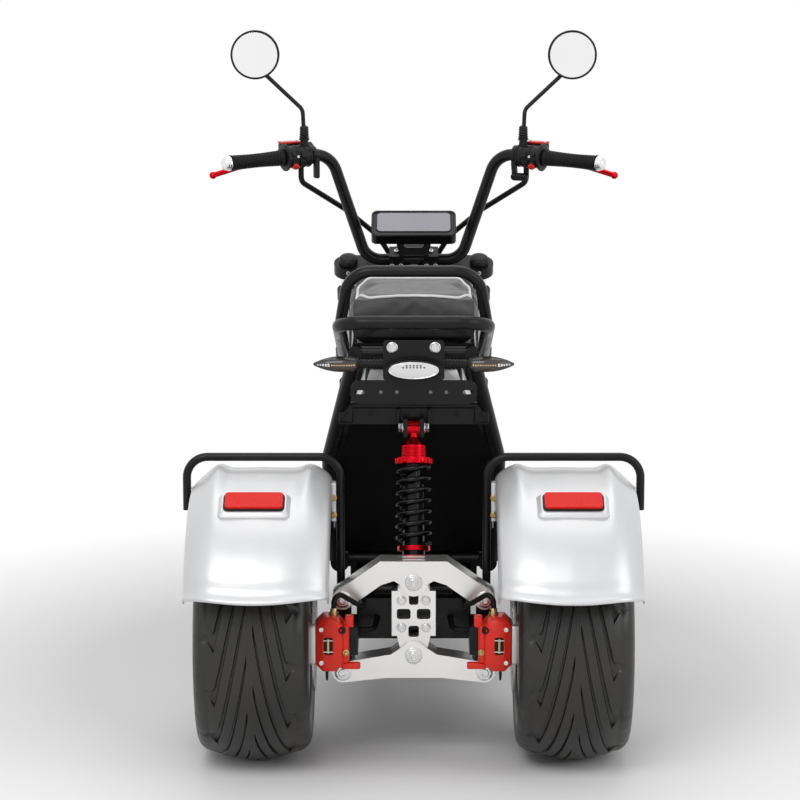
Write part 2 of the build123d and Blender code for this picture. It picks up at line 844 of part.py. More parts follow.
# Tail: bracket with its plate holder, tail lamp and turn signals
tail_face = 2
tail_half = 58
lamp_above = 516.5
plate_above = 471
plate_half = 120
plate_height = 46
plate_slot_spacing = 206
plate_hole_spacings = (124, 64)
plate_slot_length = 20
plate_slot_radius = 4
signal_above = 522
signal_ahead = 20
flange_end = tail_bar[0] - tail_bar_diameter / 2 - seat_gap
with BuildPart() as tail_bracket:
    with BuildSketch(rear_view(tail_face + sheet)):
        with Locations((0, 532)):
            RectangleRounded(2 * tail_half, 76, 6)
        with Locations((0, 492)):
            Rectangle(80, 30)
        with Locations((0, plate_above)):
            RectangleRounded(2 * plate_half, plate_height, 20)
            with Locations((-plate_slot_spacing / 2, 0), (plate_slot_spacing / 2, 0)):
                SlotOverall(plate_slot_length, 2 * plate_slot_radius, mode=Mode.SUBTRACT)
            for spacing in plate_hole_spacings:
                with Locations((-spacing / 2, 0), (spacing / 2, 0)):
                    Circle(plate_slot_radius - 0.5, mode=Mode.SUBTRACT)
    extrude(amount=sheet)
    for side in (-1, 1):
        flange = sorted((side * (tail_half - sheet), side * tail_half))
        add(block(flange, (tail_face, flange_end), (506, 552)))
save(tail_bracket.part, "tail_bracket")

with BuildPart() as tail_lamp:
    with BuildSketch(rear_view(tail_face)):
        with Locations((0, lamp_above)):
            Ellipse(56, 22)
    extrude(amount=14)
    with BuildSketch(rear_view(tail_face - 14)):
        with Locations((0, lamp_above)):
            Ellipse(52, 18.5)
    extrude(amount=8)
save(tail_lamp.part, "tail_lamp")

with BuildPart() as turn_signals:
    with BuildSketch(rear_view(signal_ahead)):
        with BuildLine():
            Line((tail_half, signal_above), (tail_half, signal_above + 9))
            Line((tail_half, signal_above + 9), (104, signal_above + 7))
            Line((104, signal_above + 7), (104, signal_above + 10))
            ThreePointArc((104, signal_above + 10), (140, signal_above + 15), (190, signal_above + 2))
            Line((190, signal_above + 2), (190, signal_above))
            Line((190, signal_above), (tail_half, signal_above))
        make_face()
    revolve(axis=across(signal_ahead, signal_above))
    mirror(about=Plane.YZ)
save(turn_signals.part, "turn_signals")


# Rear mudguards, reflectors and hoops
fender_x = rear_wheel_x - 13
fender_half = fender_width / 2
fender_skirt = -62
outer_profile = [
    # across, positive to the outside; height over the mudguard's radius
    (fender_half, fender_skirt),
    (fender_half, -38),
    (82, 4),
    (64, -5),
    (-4, -3),
    (-72, -5),
    (-90, 4),
    (-fender_half, -22),
    (-fender_half, fender_skirt),
]
inner_profile = [
    (-fender_half + fender_wall, fender_skirt),
    (-fender_half + fender_wall, -24.4),
    (-89, 0.2),
    (-72, -8.3),
    (-4, -6.2),
    (64, -8.3),
    (81, 0.2),
    (fender_half - fender_wall, -40.4),
    (fender_half - fender_wall, fender_skirt),
]


def round_wheel(x, ahead, angle, radius=0):
    """A plane through a wheel's axle: x across, y outward, at an angle back from the top."""
    turn = radians(angle)
    origin = spot(x, ahead - radius * sin(turn), radius * cos(turn))
    return Plane(origin=origin, x_dir=(1, 0, 0), z_dir=(0, -cos(turn), -sin(turn)))


def on_wheel(x, ahead, angle, radius):
    """A plane tangent to a circle round a wheel, facing outward."""
    turn = radians(angle)
    origin = spot(x, ahead - radius * sin(turn), radius * cos(turn))
    return Plane(origin=origin, x_dir=(1, 0, 0), z_dir=(0, -sin(turn), cos(turn)))


hoop_inner = 140
hoop_outer = fender_x + fender_half + hoop_diameter / 2 + 3
reflector_angle = 28
reflector_seat = fender_radius + 5
lip_top = [(t, r + fender_lip) for t, r in outer_profile[1:-1]]
lip_low = [(t, r - 2) for t, r in reversed(outer_profile[1:-1])]
ear_low = 215
with BuildPart() as rear_fenders:
    with BuildSketch(round_wheel(fender_x, 0, fender_front_angle)):
        with BuildLine():
            Polyline(*[(t, fender_radius + r) for t, r in outer_profile + inner_profile], close=True)
        make_face()
    revolve(axis=across(0, 0), revolution_arc=fender_rear_angle - fender_front_angle)
    with BuildSketch(round_wheel(fender_x, 0, fender_rear_angle)):
        with BuildLine():
            Polyline(*[(t, fender_radius + r) for t, r in lip_top + lip_low], close=True)
        make_face()
    extrude(amount=4)
    with BuildSketch(on_wheel(fender_x + 6, 0, reflector_angle, reflector_seat - 12)):
        RectangleRounded(122, 58, 8)
    extrude(amount=12)
    add(block((hoop_inner + hoop_diameter / 2 + seat_gap, fender_x - fender_half + fender_wall),
              (hoop_ahead - 13, hoop_ahead + 13), (ear_low, 290)))
    add(block((fender_x + fender_half - fender_wall, hoop_outer - hoop_diameter / 2 - seat_gap),
              (hoop_ahead - 13, hoop_ahead + 13), (236, 280)))
    mirror(about=Plane.YZ)
save(rear_fenders.part, "rear_fenders")

with BuildPart() as reflectors:
    with BuildSketch(on_wheel(fender_x + 6, 0, reflector_angle, reflector_seat)):
        RectangleRounded(107, 43, 7)
    extrude(amount=8)
    mirror(about=Plane.YZ)
save(reflectors.part, "rear_reflectors")

hoop_route = [
    spot(hoop_inner, hoop_ahead, hoop_foot[1]),
    spot(hoop_inner, hoop_ahead, hoop_above),
    spot(hoop_outer, hoop_ahead, hoop_above),
    spot(hoop_outer, hoop_ahead, 236),
]
hoop_bar = bent_tube(hoop_route, [40, 40], hoop_diameter)
with BuildPart() as fender_hoops:
    add(hoop_bar)
    mirror(about=Plane.YZ)
save(fender_hoops.part, "fender_hoops")

brake_hose = bent_tube(
    [
        spot(96, 150, 30), spot(96, 98, 69), spot(96, -60, 69),
        spot(150, -104, 112), spot(150, -104, caliper_above[1] + seat_gap),
    ],
    [25, 22, 14],
    10,
)
motor_cable = bent_tube([spot(104.7, -14, 12), spot(76, -14, 12), spot(70, 42.8, 22)], [18], 11)
with BuildPart() as rear_cables:
    add(brake_hose)
    add(motor_cable)
    mirror(about=Plane.YZ)
save(rear_cables.part, "rear_cables")


# Steering: yokes, fork, axle, front brake and mudguard
yoke_low = (392, 420)
yoke_high = (625, 650)
fork_top = 660
slider_top = 330
fork_bore = fork_tube_diameter / 2 + shaft_clearance


def steer_plane(along):
    """A plane across the steering axis, with coordinates (x, forward)."""
    return Plane(origin=steer_point(along), x_dir=(1, 0, 0), z_dir=steer_up)


with BuildPart() as fork_yokes:
    for low, high in (yoke_low, yoke_high):
        with BuildSketch(steer_plane(low)):
            with Locations((-fork_half_width, fork_offset), (fork_half_width, fork_offset), (0, 0)):
                Circle(32)
            make_hull()
            with Locations((-fork_half_width, fork_offset), (fork_half_width, fork_offset)):
                Circle(fork_bore, mode=Mode.SUBTRACT)
        extrude(amount=high - low)
    with BuildSketch(steer_plane(yoke_low[0])):
        Circle(stem_diameter / 2)
    extrude(amount=yoke_high[1] + 8 - yoke_low[0])
    for low, high in ((yoke_low[1], head_low - seat_gap), (head_high + seat_gap, yoke_high[0])):
        with BuildSketch(steer_plane(low)):
            Circle(27)
        extrude(amount=high - low)
save(fork_yokes.part, "fork_yokes")

with BuildPart() as fork_tubes:
    with BuildSketch(steer_plane(slider_top)):
        with Locations((-fork_half_width, fork_offset), (fork_half_width, fork_offset)):
            Circle(fork_tube_diameter / 2)
    extrude(amount=fork_top - slider_top)
save(fork_tubes.part, "fork_tubes")

with BuildPart() as fork_sliders:
    with BuildSketch(steer_plane(-30)):
        with Locations((-fork_half_width, fork_offset), (fork_half_width, fork_offset)):
            Circle(slider_diameter / 2)
    extrude(amount=slider_top + 30)
    with BuildSketch(side_view(-200)):
        with Locations((wheelbase, 0)):
            Circle(axle_bore)
    extrude(amount=400, mode=Mode.SUBTRACT)
save(fork_sliders.part, "fork_sliders")

slider_inner = fork_half_width - slider_diameter / 2 - seat_gap
slider_outer = fork_half_width + slider_diameter / 2 + seat_gap
with BuildPart() as front_axle:
    add(straight_bar(spot(-slider_outer - 12, wheelbase, 0), spot(slider_outer + 12, wheelbase, 0), axle_diameter))
    disc_face = front_disc_inset + disc_thickness / 2 + seat_gap
    add(straight_bar(spot(-slider_inner, wheelbase, 0), spot(-disc_face, wheelbase, 0), axle_diameter + 12))
    add(straight_bar(spot(70 + seat_gap, wheelbase, 0), spot(slider_inner, wheelbase, 0), axle_diameter + 12))
    for side in (-1, 1):
        with BuildSketch(side_view(side * slider_outer if side > 0 else -slider_outer - 12)):
            with Locations((wheelbase, 0)):
                RegularPolygon(17, 6)
        extrude(amount=12)
save(front_axle.part, "front_axle")

caliper_reach = disc_diameter / 2 - 12
caliper_place = (wheelbase - caliper_reach * cos(pi / 4), caliper_reach * sin(pi / 4))
with BuildPart() as front_caliper:
    with BuildSketch(side_view(-front_disc_inset - 16)):
        with Locations(Location((*caliper_place, 0), (0, 0, 45))):
            RectangleRounded(50, 44, 10)
    extrude(amount=32)
    with BuildSketch(side_view(-front_disc_inset - disc_slot / 2)):
        with Locations((wheelbase, 0)):
            Circle(disc_diameter / 2 + 3)
    extrude(amount=disc_slot, mode=Mode.SUBTRACT)
    add(block((-slider_inner, -front_disc_inset - 15),
              (caliper_place[0] - 4, caliper_place[0] + 40), (caliper_place[1] - 12, caliper_place[1] + 18)))
save(front_caliper.part, "front_caliper")

front_fender_radius = wheel_radius + 24
front_fender_half = 114
front_profile = [(front_fender_half, -42), (front_fender_half, -14), (88, -3), (0, 3)]
front_profile += [(-t, r) for t, r in reversed(front_profile[:-1])]
front_inner = [(front_fender_half - 3, -42), (front_fender_half - 3, -16), (86, -6), (0, 0)]
front_inner += [(-t, r) for t, r in reversed(front_inner[:-1])]
stay = steer_point(250, fork_offset)
with BuildPart() as front_fender:
    with BuildSketch(round_wheel(0, wheelbase, -46)):
        with BuildLine():
            Polyline(*[(t, front_fender_radius + r) for t, r in front_profile + front_inner[::-1]], close=True)
        make_face()
    revolve(axis=across(wheelbase, 0), revolution_arc=124)
    for side in (-1, 1):
        with Locations((side * (front_fender_half - 2 + slider_inner) / 2, stay[1], stay[2])):
            Box(slider_inner - front_fender_half + 2, 26, 30)
save(front_fender.part, "front_fender")


# Handlebar with its clamps, grips, controls, mirrors and display
bar_corner = (104, bar_ahead, bar_above)
bar_elbow = (182, bar_ahead - 67, bar_above + 242)
bar_end = (392, bar_ahead - 177, bar_above + 230)
bar_run = Vector(*bar_end) - Vector(*bar_elbow)
bar_way = bar_run.normalized()
bar_front = Vector(-bar_way.Y, bar_way.X, 0).normalized()
bar_radius = bar_diameter / 2
handlebar_route = [spot(-bar_end[0], *bar_end[1:]), spot(-bar_elbow[0], *bar_elbow[1:])]
handlebar_route += [spot(-bar_corner[0], *bar_corner[1:]), spot(*bar_corner), spot(*bar_elbow), spot(*bar_end)]
handlebar = bent_tube(handlebar_route, [60, 45, 45, 60], bar_diameter)
save(handlebar, "handlebar")


def on_bar(along, forward=0, up=0):
    """A point by its distance past the right elbow, forward of the bar and above it."""
    place = Vector(*bar_elbow) + bar_way * along + bar_front * forward + Vector(0, 0, up)
    return spot(place.X, place.Y, place.Z)


grip_start = 114
grip_end = bar_run.length
clamp_x = 38
clamp_half = 16
with BuildPart() as bar_clamps:
    with BuildSketch(steer_plane(yoke_high[1])):
        with Locations((-clamp_x, 28), (clamp_x, 28)):
            Rectangle(2 * clamp_half, 42)
    extrude(amount=40)
    add(straight_bar(spot(-60, bar_ahead, bar_above), spot(60, bar_ahead, bar_above), bar_diameter + 0.1), mode=Mode.SUBTRACT)
save(bar_clamps.part, "bar_clamps")

grip_bar = straight_bar(on_bar(grip_start), on_bar(grip_end), 34)
bore_bar = straight_bar(on_bar(grip_start - 90), on_bar(grip_end + 5), bar_diameter + 0.1)
with BuildPart() as grips:
    add(grip_bar)
    add(bore_bar, mode=Mode.SUBTRACT)
    mirror(about=Plane.YZ)
save(grips.part, "grips")

cap_bar = straight_bar(on_bar(grip_end + seat_gap), on_bar(grip_end + 12), 32)
tip_bar = straight_bar(on_bar(grip_end + 12), on_bar(grip_end + 20), 22)
with BuildPart() as bar_ends:
    add(cap_bar)
    add(tip_bar)
    mirror(about=Plane.YZ)
save(bar_ends.part, "bar_ends")

pod_bar = straight_bar(on_bar(52), on_bar(grip_start - 2), 48)
cylinder_bar = straight_bar(on_bar(58, 36, 2), on_bar(104, 36, 2), 27)
bridge_bar = straight_bar(on_bar(80, 10), on_bar(80, 40), 22)
boss_bar = straight_bar(on_bar(62, 0, 10), on_bar(62, 0, 34), 18)
with BuildPart() as switch_pods:
    for piece in (pod_bar, cylinder_bar, bridge_bar, boss_bar):
        add(piece)
    add(bore_bar, mode=Mode.SUBTRACT)
    mirror(about=Plane.YZ)
save(switch_pods.part, "switch_pods")

lever_bar = bent_tube(
    [on_bar(105.2, 36), on_bar(117, 38, -1), on_bar(132, 58, -6), on_bar(258, 46, -28)], [12, 20], 12
)
with BuildPart() as brake_levers:
    add(lever_bar)
    with Locations(on_bar(258, 46, -28)):
        Sphere(8)
    mirror(about=Plane.YZ)
save(brake_levers.part, "brake_levers")

mirror_place = (341, bar_ahead - 112, 1056)
mirror_depth = 16
stem_ahead = mirror_place[1] + mirror_depth + 5
mirror_foot = on_bar(62, 0, 35)
foot_place = (mirror_foot[0], mirror_foot[1] - rear_axle_y, mirror_foot[2] - axle_z)
stem_bar = bent_tube(
    [
        mirror_foot,
        spot(foot_place[0] + 3, foot_place[1], 938),
        spot(mirror_place[0] - 22, stem_ahead, 1012),
        spot(mirror_place[0], stem_ahead, mirror_place[2]),
    ],
    [22, 22],
    9,
)
boot_bar = straight_bar(mirror_foot, (mirror_foot[0] + 1, mirror_foot[1], mirror_foot[2] + 26), 17)
with BuildPart() as mirrors:
    add(stem_bar)
    add(boot_bar)
    with BuildSketch(rear_view(mirror_place[1] + mirror_depth)):
        with Locations((mirror_place[0], mirror_place[2])):
            Circle(mirror_diameter / 2)
    extrude(amount=mirror_depth)
    with BuildSketch(rear_view(mirror_place[1] + 2)):
        with Locations((mirror_place[0], mirror_place[2])):
            Circle(mirror_diameter / 2 - 4)
    extrude(amount=4, mode=Mode.SUBTRACT)
    with Locations(spot(mirror_place[0], stem_ahead - 3, mirror_place[2])):
        Box(14, 8, 14)
    mirror(about=Plane.YZ)
save(mirrors.part, "mirrors")

with BuildPart() as mirror_glass:
    with BuildSketch(rear_view(mirror_place[1] + 2)):
        with Locations((mirror_place[0], mirror_place[2])):
            Circle(mirror_diameter / 2 - 4 - seat_gap)
    extrude(amount=1.5)
    mirror(about=Plane.YZ)
save(mirror_glass.part, "mirror_glass")

display_tilt = radians(32)
display_frame = Plane(
    origin=spot(0, bar_ahead - 47, bar_above + 85), x_dir=(1, 0, 0), z_dir=(0, -sin(display_tilt), cos(display_tilt))
)
display_thick = 22
with BuildPart() as display:
    with BuildSketch(display_frame.offset(-display_thick)):
        RectangleRounded(185, 88, 12)
    extrude(amount=display_thick)
save(display.part, "display")

under_ahead = bar_ahead - 47 + display_thick * sin(display_tilt)
under_above = bar_above + 85 - display_thick * cos(display_tilt)
stay_ahead = bar_ahead - 24
stay_top = under_above + (stay_ahead - 2 - under_ahead) * tan(display_tilt) - seat_gap
with BuildPart() as display_bracket:
    with BuildSketch(rear_view(stay_ahead + 2)):
        with BuildLine():
            Polyline((-32, bar_above + 13), (32, bar_above + 13), (46, stay_top), (-46, stay_top), close=True)
        make_face()
        with Locations((0, (bar_above + 13 + stay_top) / 2)):
            RectangleRounded(44, 26, 8, mode=Mode.SUBTRACT)
    extrude(amount=4)
save(display_bracket.part, "display_bracket")


# Headlamp and the cables along the bar
lamp_place = (wheelbase - 155, 539)
lamp_radius = 80
with BuildPart() as headlamp:
    with BuildSketch(top_view(lamp_place[1])):
        with BuildLine():
            Polyline(
                (0, lamp_place[0] - 46), (20, lamp_place[0] - 46), (56, lamp_place[0] - 30),
                (lamp_radius - 4, lamp_place[0]), (lamp_radius, lamp_place[0] + 10),
                (lamp_radius, lamp_place[0] + 34), (0, lamp_place[0] + 34), close=True,
            )
        make_face()
    revolve(axis=Axis(spot(0, 0, lamp_place[1]), (0, 1, 0)))
save(headlamp.part, "headlamp")
with BuildPart() as headlamp_lens:
    with BuildSketch(top_view(lamp_place[1])):
        with BuildLine():
            Line((0, lamp_place[0] + 34), (lamp_radius - 6, lamp_place[0] + 34))
            ThreePointArc((lamp_radius - 6, lamp_place[0] + 34), (46, lamp_place[0] + 44), (8, lamp_place[0] + 48))
            Line((8, lamp_place[0] + 48), (0, lamp_place[0] + 48))
            Line((0, lamp_place[0] + 48), (0, lamp_place[0] + 34))
        make_face()
    revolve(axis=Axis(spot(0, 0, lamp_place[1]), (0, 1, 0)))
save(headlamp_lens.part, "headlamp_lens")

ring_low = 556
ring_middle = steer_point(ring_low + 12, fork_offset, fork_half_width)
arm_tip = spot(lamp_radius + 2, lamp_place[0] + 8, lamp_place[1])
arm_bar = straight_bar(arm_tip, ring_middle, 12)
tip_pad = straight_bar(spot(lamp_radius + seat_gap, lamp_place[0] + 20, lamp_place[1]),
                       spot(lamp_radius + 10, lamp_place[0] + 20, lamp_place[1]), 26)
with BuildPart() as headlamp_bracket:
    with BuildSketch(steer_plane(ring_low)):
        with Locations((fork_half_width, fork_offset)):
            Circle(fork_tube_diameter / 2 + 8)
    extrude(amount=24)
    add(arm_bar)
    add(tip_pad)
    with BuildSketch(steer_plane(ring_low - 60)):
        with Locations((fork_half_width, fork_offset)):
            Circle(fork_bore)
    extrude(amount=160, mode=Mode.SUBTRACT)
    add(straight_bar(spot(0, lamp_place[0] + 20, lamp_place[1]),
                     spot(lamp_radius + seat_gap, lamp_place[0] + 20, lamp_place[1]), 60), mode=Mode.SUBTRACT)
    mirror(about=Plane.YZ)
save(headlamp_bracket.part, "headlamp_bracket")

loom_bar = bent_tube(
    [
        on_bar(70, 0, -25), on_bar(70, 0, -56), spot(150, bar_ahead + 10, bar_above + 110),
        spot(80, bar_ahead + 74, bar_above + 44), spot(14, bar_ahead + 75, lamp_place[1]),
        spot(14, lamp_place[0] - 46 - seat_gap, lamp_place[1]),
    ],
    [20, 40, 40, 10],
    12,
)
with BuildPart() as bar_looms:
    add(loom_bar)
    mirror(about=Plane.YZ)
save(bar_looms.part, "bar_looms")
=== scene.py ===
"""Looks of the three-wheeled electric scooter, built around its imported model. Metres.

Places are given in millimetres as (x, ahead, above): right of the middle, ahead of the rear axle and
above the axles, and place() turns them into metres in the model's frame.
"""

import math

import bmesh
import bpy
import numpy as np
from mathutils import Matrix, Vector
from mathutils.bvhtree import BVHTree


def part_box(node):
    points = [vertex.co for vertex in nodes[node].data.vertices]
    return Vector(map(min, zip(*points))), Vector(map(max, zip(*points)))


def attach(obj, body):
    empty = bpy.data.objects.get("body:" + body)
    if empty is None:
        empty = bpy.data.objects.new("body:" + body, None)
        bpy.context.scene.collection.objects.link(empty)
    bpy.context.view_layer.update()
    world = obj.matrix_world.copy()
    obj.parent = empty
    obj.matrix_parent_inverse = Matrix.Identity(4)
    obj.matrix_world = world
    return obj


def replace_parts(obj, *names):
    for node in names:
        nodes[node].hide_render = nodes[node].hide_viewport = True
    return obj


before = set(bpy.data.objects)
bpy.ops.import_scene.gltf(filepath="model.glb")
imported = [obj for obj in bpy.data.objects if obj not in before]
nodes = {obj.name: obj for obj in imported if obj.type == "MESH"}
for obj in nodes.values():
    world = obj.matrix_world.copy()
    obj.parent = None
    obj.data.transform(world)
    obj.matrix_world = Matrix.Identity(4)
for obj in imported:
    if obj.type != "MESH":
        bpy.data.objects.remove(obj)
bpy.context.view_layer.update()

MM = 0.001


def centre(node):
    """The middle of a node's box."""
    low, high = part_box(node)
    return (low + high) / 2


rear_axle = centre("rear_tyre_left")
front_axle = centre("front_tyre")
sides = ((-1, "left"), (1, "right"))
backward, forward, upward = (0, -1, 0), (0, 1, 0), (0, 0, 1)


def place(x, ahead, above):
    """The point of the frame at a place on the scooter, given in millimetres."""
    return Vector((x * MM, rear_axle.y + ahead * MM, rear_axle.z + above * MM))


# Shader nodes


def shader_node(material, kind, inputs=None, **settings):
    """Adds a node; its inputs are numbers, colours or other nodes' outputs."""
    node = material.node_tree.nodes.new(kind)
    for key, value in settings.items():
        setattr(node, key, value)
    for key, value in (inputs or {}).items():
        if isinstance(value, bpy.types.NodeSocket):
            material.node_tree.links.new(value, node.inputs[key])
        else:
            node.inputs[key].default_value = value
    return node


def surface(material):
    """The material's main shader."""
    return material.node_tree.nodes["Principled BSDF"]


def drive(material, socket, output):
    """Links an output to an input of the main shader."""
    material.node_tree.links.new(output, surface(material).inputs[socket])


def spread(material, stretch):
    """Object coordinates in metres, stretched along the axes."""
    where = shader_node(material, "ShaderNodeTexCoord").outputs["Object"]
    return shader_node(material, "ShaderNodeMapping", {"Vector": where, "Scale": stretch}).outputs[0]


def noise(material, scale, detail, stretch=(1, 1, 1)):
    """Smooth random values about one half."""
    settings = {"Vector": spread(material, stretch), "Scale": scale, "Detail": detail}
    return shader_node(material, "ShaderNodeTexNoise", settings).outputs["Fac"]


def cells(material, scale, output="Distance", feature="F1"):
    """A pattern of random cells."""
    settings = {"Vector": spread(material, (1, 1, 1)), "Scale": scale}
    return shader_node(material, "ShaderNodeTexVoronoi", settings, feature=feature).outputs[output]


def remap(material, value, low, high, start=0.3, stop=0.7):
    """A value spread between two numbers."""
    settings = {"Value": value, "From Min": start, "From Max": stop, "To Min": low, "To Max": high}
    return shader_node(material, "ShaderNodeMapRange", settings).outputs[0]


def tint(material, value, dark, light):
    """A colour between two, by a value from 0 to 1."""
    inputs = {0: value, 6: (*dark, 1), 7: (*light, 1)}
    return shader_node(material, "ShaderNodeMix", inputs, data_type="RGBA").outputs[2]


def relief(material, height, depth):
    """Bumps of a real depth in metres, on top of earlier ones."""
    shader = surface(material)
    inputs = {"Height": height, "Distance": depth, "Strength": 1.0}
    if shader.inputs["Normal"].links:
        inputs["Normal"] = shader.inputs["Normal"].links[0].from_socket
    drive(material, "Normal", shader_node(material, "ShaderNodeBump", inputs).outputs[0])


def finish(name, dark, light, rough, metallic, grain, sockets=None, stretch=(1, 1, 1)):
    """A material with mottled colour, uneven gloss and a fine grain.

    dark and light are the colour's limits, rough the roughness's, and grain is the grain's scale and
    its depth in millimetres. sockets are the shader's other numbers.
    """
    made = bpy.data.materials.new(name)
    made.use_nodes = True
    shader = surface(made)
    shader.inputs["Metallic"].default_value = metallic
    for socket, value in (sockets or {}).items():
        shader.inputs[socket].default_value = value
    drive(made, "Base Color", tint(made, remap(made, noise(made, 9, 4), 0, 1), dark, light))
    drive(made, "Roughness", remap(made, noise(made, 60, 3, stretch), *rough))
    edges = shader_node(made, "ShaderNodeBevel", {"Radius": edge_radius * MM}, samples=4)
    drive(made, "Normal", edges.outputs[0])
    scale, depth = grain
    relief(made, noise(made, scale, 2, stretch), depth * MM)
    return made


def grey(value):
    """A neutral colour."""
    return (value, value, value)


edge_radius = 1.0
clear_coat = {"Coat Weight": 0.35, "Coat Roughness": 0.08}
soft_coat = {"Coat Weight": 0.2, "Coat Roughness": 0.2}
red_gloss = {"Specular IOR Level": 0.3, "Coat Weight": 0.15, "Coat Roughness": 0.1}
dull = {"Specular IOR Level": 0.16}
satin = {"Specular IOR Level": 0.24}
sheen = {"Specular IOR Level": 0.5}
black_paint = finish("black_paint", grey(0.004), grey(0.007), (0.26, 0.38), 0.0, (420, 0.04), satin)
black_panel = finish("black_panel", grey(0.003), grey(0.005), (0.4, 0.52), 0.0, (900, 0.05), dull)
black_plastic = finish("black_plastic", grey(0.006), grey(0.01), (0.36, 0.48), 0.0, (1900, 0.08), satin)
gloss_plastic = finish("gloss_plastic", grey(0.003), grey(0.005), (0.1, 0.18), 0.0, (300, 0.01), satin)
steel = finish("steel", grey(0.62), grey(0.72), (0.18, 0.32), 1.0, (900, 0.02))
chrome = finish("chrome", grey(0.78), grey(0.84), (0.05, 0.1), 1.0, (300, 0.004))
aluminium = finish(
    "machined_aluminium", (0.74, 0.73, 0.715), (0.82, 0.81, 0.8), (0.3, 0.44), 1.0, (240, 0.02),
    stretch=(1, 6, 22),
)
cast_alloy = finish("cast_alloy", grey(0.5), grey(0.58), (0.34, 0.46), 1.0, (700, 0.08))
red_paint = finish(
    "red_paint", (0.84, 0.024, 0.01), (0.9, 0.032, 0.014), (0.32, 0.42), 0.0, (500, 0.06), red_gloss
)
red_anodised = finish(
    "red_anodised", (0.5, 0.005, 0.012), (0.6, 0.008, 0.016), (0.2, 0.32), 1.0, (500, 0.015)
)
red_button = finish(
    "red_button", (0.72, 0.014, 0.008), (0.8, 0.02, 0.01), (0.3, 0.36), 0.0, (900, 0.02), red_gloss
)
brass = finish("brass", (0.42, 0.3, 0.12), (0.58, 0.43, 0.2), (0.26, 0.4), 1.0, (900, 0.03))
hose_rubber = finish("hose_rubber", grey(0.005), grey(0.009), (0.42, 0.55), 0.0, (1400, 0.06), dull)
grip_rubber = finish("grip_rubber", grey(0.006), grey(0.011), (0.5, 0.62), 0.0, (2400, 0.1), dull)
battery_case = finish("battery_case", (0.02, 0.03, 0.05), (0.03, 0.04, 0.065), (0.4, 0.5), 0.0, (1200, 0.06))
deck_rubber = finish("deck_rubber", grey(0.008), grey(0.014), (0.55, 0.7), 0.0, (1500, 0.18), dull)
white_piping = finish("white_piping", grey(0.78), grey(0.86), (0.36, 0.46), 0.0, (2600, 0.05))
white_mark_colour = finish("white_mark_colour", grey(0.8), grey(0.88), (0.3, 0.4), 0.0, (900, 0.02))
mirror_silver = finish("mirror_silver", grey(0.86), grey(0.89), (0.01, 0.02), 1.0, (4, 0.0005))


def make_silver_paint():
    """Pale metallic paint with fine flakes under a clear coat."""
    made = finish(
        "silver_paint", (0.7, 0.705, 0.715), (0.74, 0.745, 0.755), (0.3, 0.36), 0.3, (300, 0.012), soft_coat
    )
    flakes = remap(made, cells(made, 2600, "Color"), 0.28, 0.42, 0, 1)
    drive(made, "Roughness", flakes)
    return made


def make_tyre_rubber():
    """Matt rubber with a warm cast, mould bloom and a fine pebble."""
    made = finish(
        "tyre_rubber", (0.012, 0.011, 0.01), (0.024, 0.0218, 0.0195), (0.3, 0.42), 0.0, (1300, 0.1), sheen
    )
    relief(made, cells(made, 900), 0.05 * MM)
    return made


def make_leather(name, dark, light):
    """Grey vinyl with a pebbled grain and a soft sheen, between two greys."""
    # The light grey leans a little blue; for the pad's top this tint is part of the painted sheen.
    made = finish(
        name, grey(dark), (light, light, light * 1.06), (0.38, 0.5), 0.0, (90, 0.25),
        {"Sheen Weight": 0.05, "Sheen Roughness": 0.4, "Specular IOR Level": 0.3},
    )
    relief(made, cells(made, 620, feature="SMOOTH_F1"), 0.2 * MM)
    return made


def make_reflector():
    """Red prismatic plastic: a fine lattice under a clear face, with a faint painted glow."""
    dark, light = (0.6, 0.004, 0.003), (0.86, 0.016, 0.008)
    made = finish("red_reflector", dark, light, (0.2, 0.3), 0.0, (60, 0.01), dull)
    pattern = {"Vector": spread(made, (1, 1, 1)), "Scale": 420, "Color1": (*light, 1), "Color2": (*dark, 1)}
    lattice = shader_node(made, "ShaderNodeTexChecker", pattern)
    drive(made, "Base Color", lattice.outputs["Color"])
    relief(made, cells(made, 420), 0.3 * MM)
    # A faint red emission: painted glow, since a reflector gives no light of its own.
    surface(made).inputs["Emission Color"].default_value = (0.8, 0.01, 0.005, 1)
    surface(made).inputs["Emission Strength"].default_value = 0.12
    return made


def make_lens(name, color, glow=0.0):
    """Clear moulded plastic with a little ripple."""
    clear = {"Transmission Weight": 0.9, "IOR": 1.45}
    made = finish(name, color, color, (0.03, 0.07), 0.0, (40, 0.01), clear)
    if glow:
        surface(made).inputs["Emission Color"].default_value = (*color, 1)
        surface(made).inputs["Emission Strength"].default_value = glow
    return made


silver_paint = make_silver_paint()
tyre_rubber = make_tyre_rubber()
seat_leather = make_leather("seat_leather", 0.014, 0.022)
# A lit copy of the seat's leather for the top of the passenger's pad: painted sheen.
seat_top_painted_sheen = make_leather("seat_top_painted_sheen", 0.115, 0.15)
red_reflector = make_reflector()
clear_lens = make_lens("clear_lens", (0.96, 0.97, 1.0))
amber_led = make_lens("amber_led", (0.98, 0.74, 0.4), 0.35)
screen_glass = finish(
    "screen_glass", (0.2, 0.2, 0.235), (0.25, 0.25, 0.29), (0.08, 0.14), 0.0, (40, 0.004), clear_coat
)
lamp_lens = finish("lamp_lens", grey(0.8), grey(0.86), (0.08, 0.14), 0.0, (220, 0.03), clear_coat)
smoked_lens = finish(
    "smoked_lens", (0.045, 0.04, 0.035), (0.07, 0.062, 0.055), (0.06, 0.12), 0.0, (300, 0.02)
)


# Mesh helpers


def piece(name, verts, faces, material, body, smooth_angle=40.0):
    """A new object from points and faces, riding on a body."""
    mesh = bpy.data.meshes.new(name)
    mesh.from_pydata([tuple(v) for v in verts], [], faces)
    return dress(mesh, name, material, body, smooth_angle)


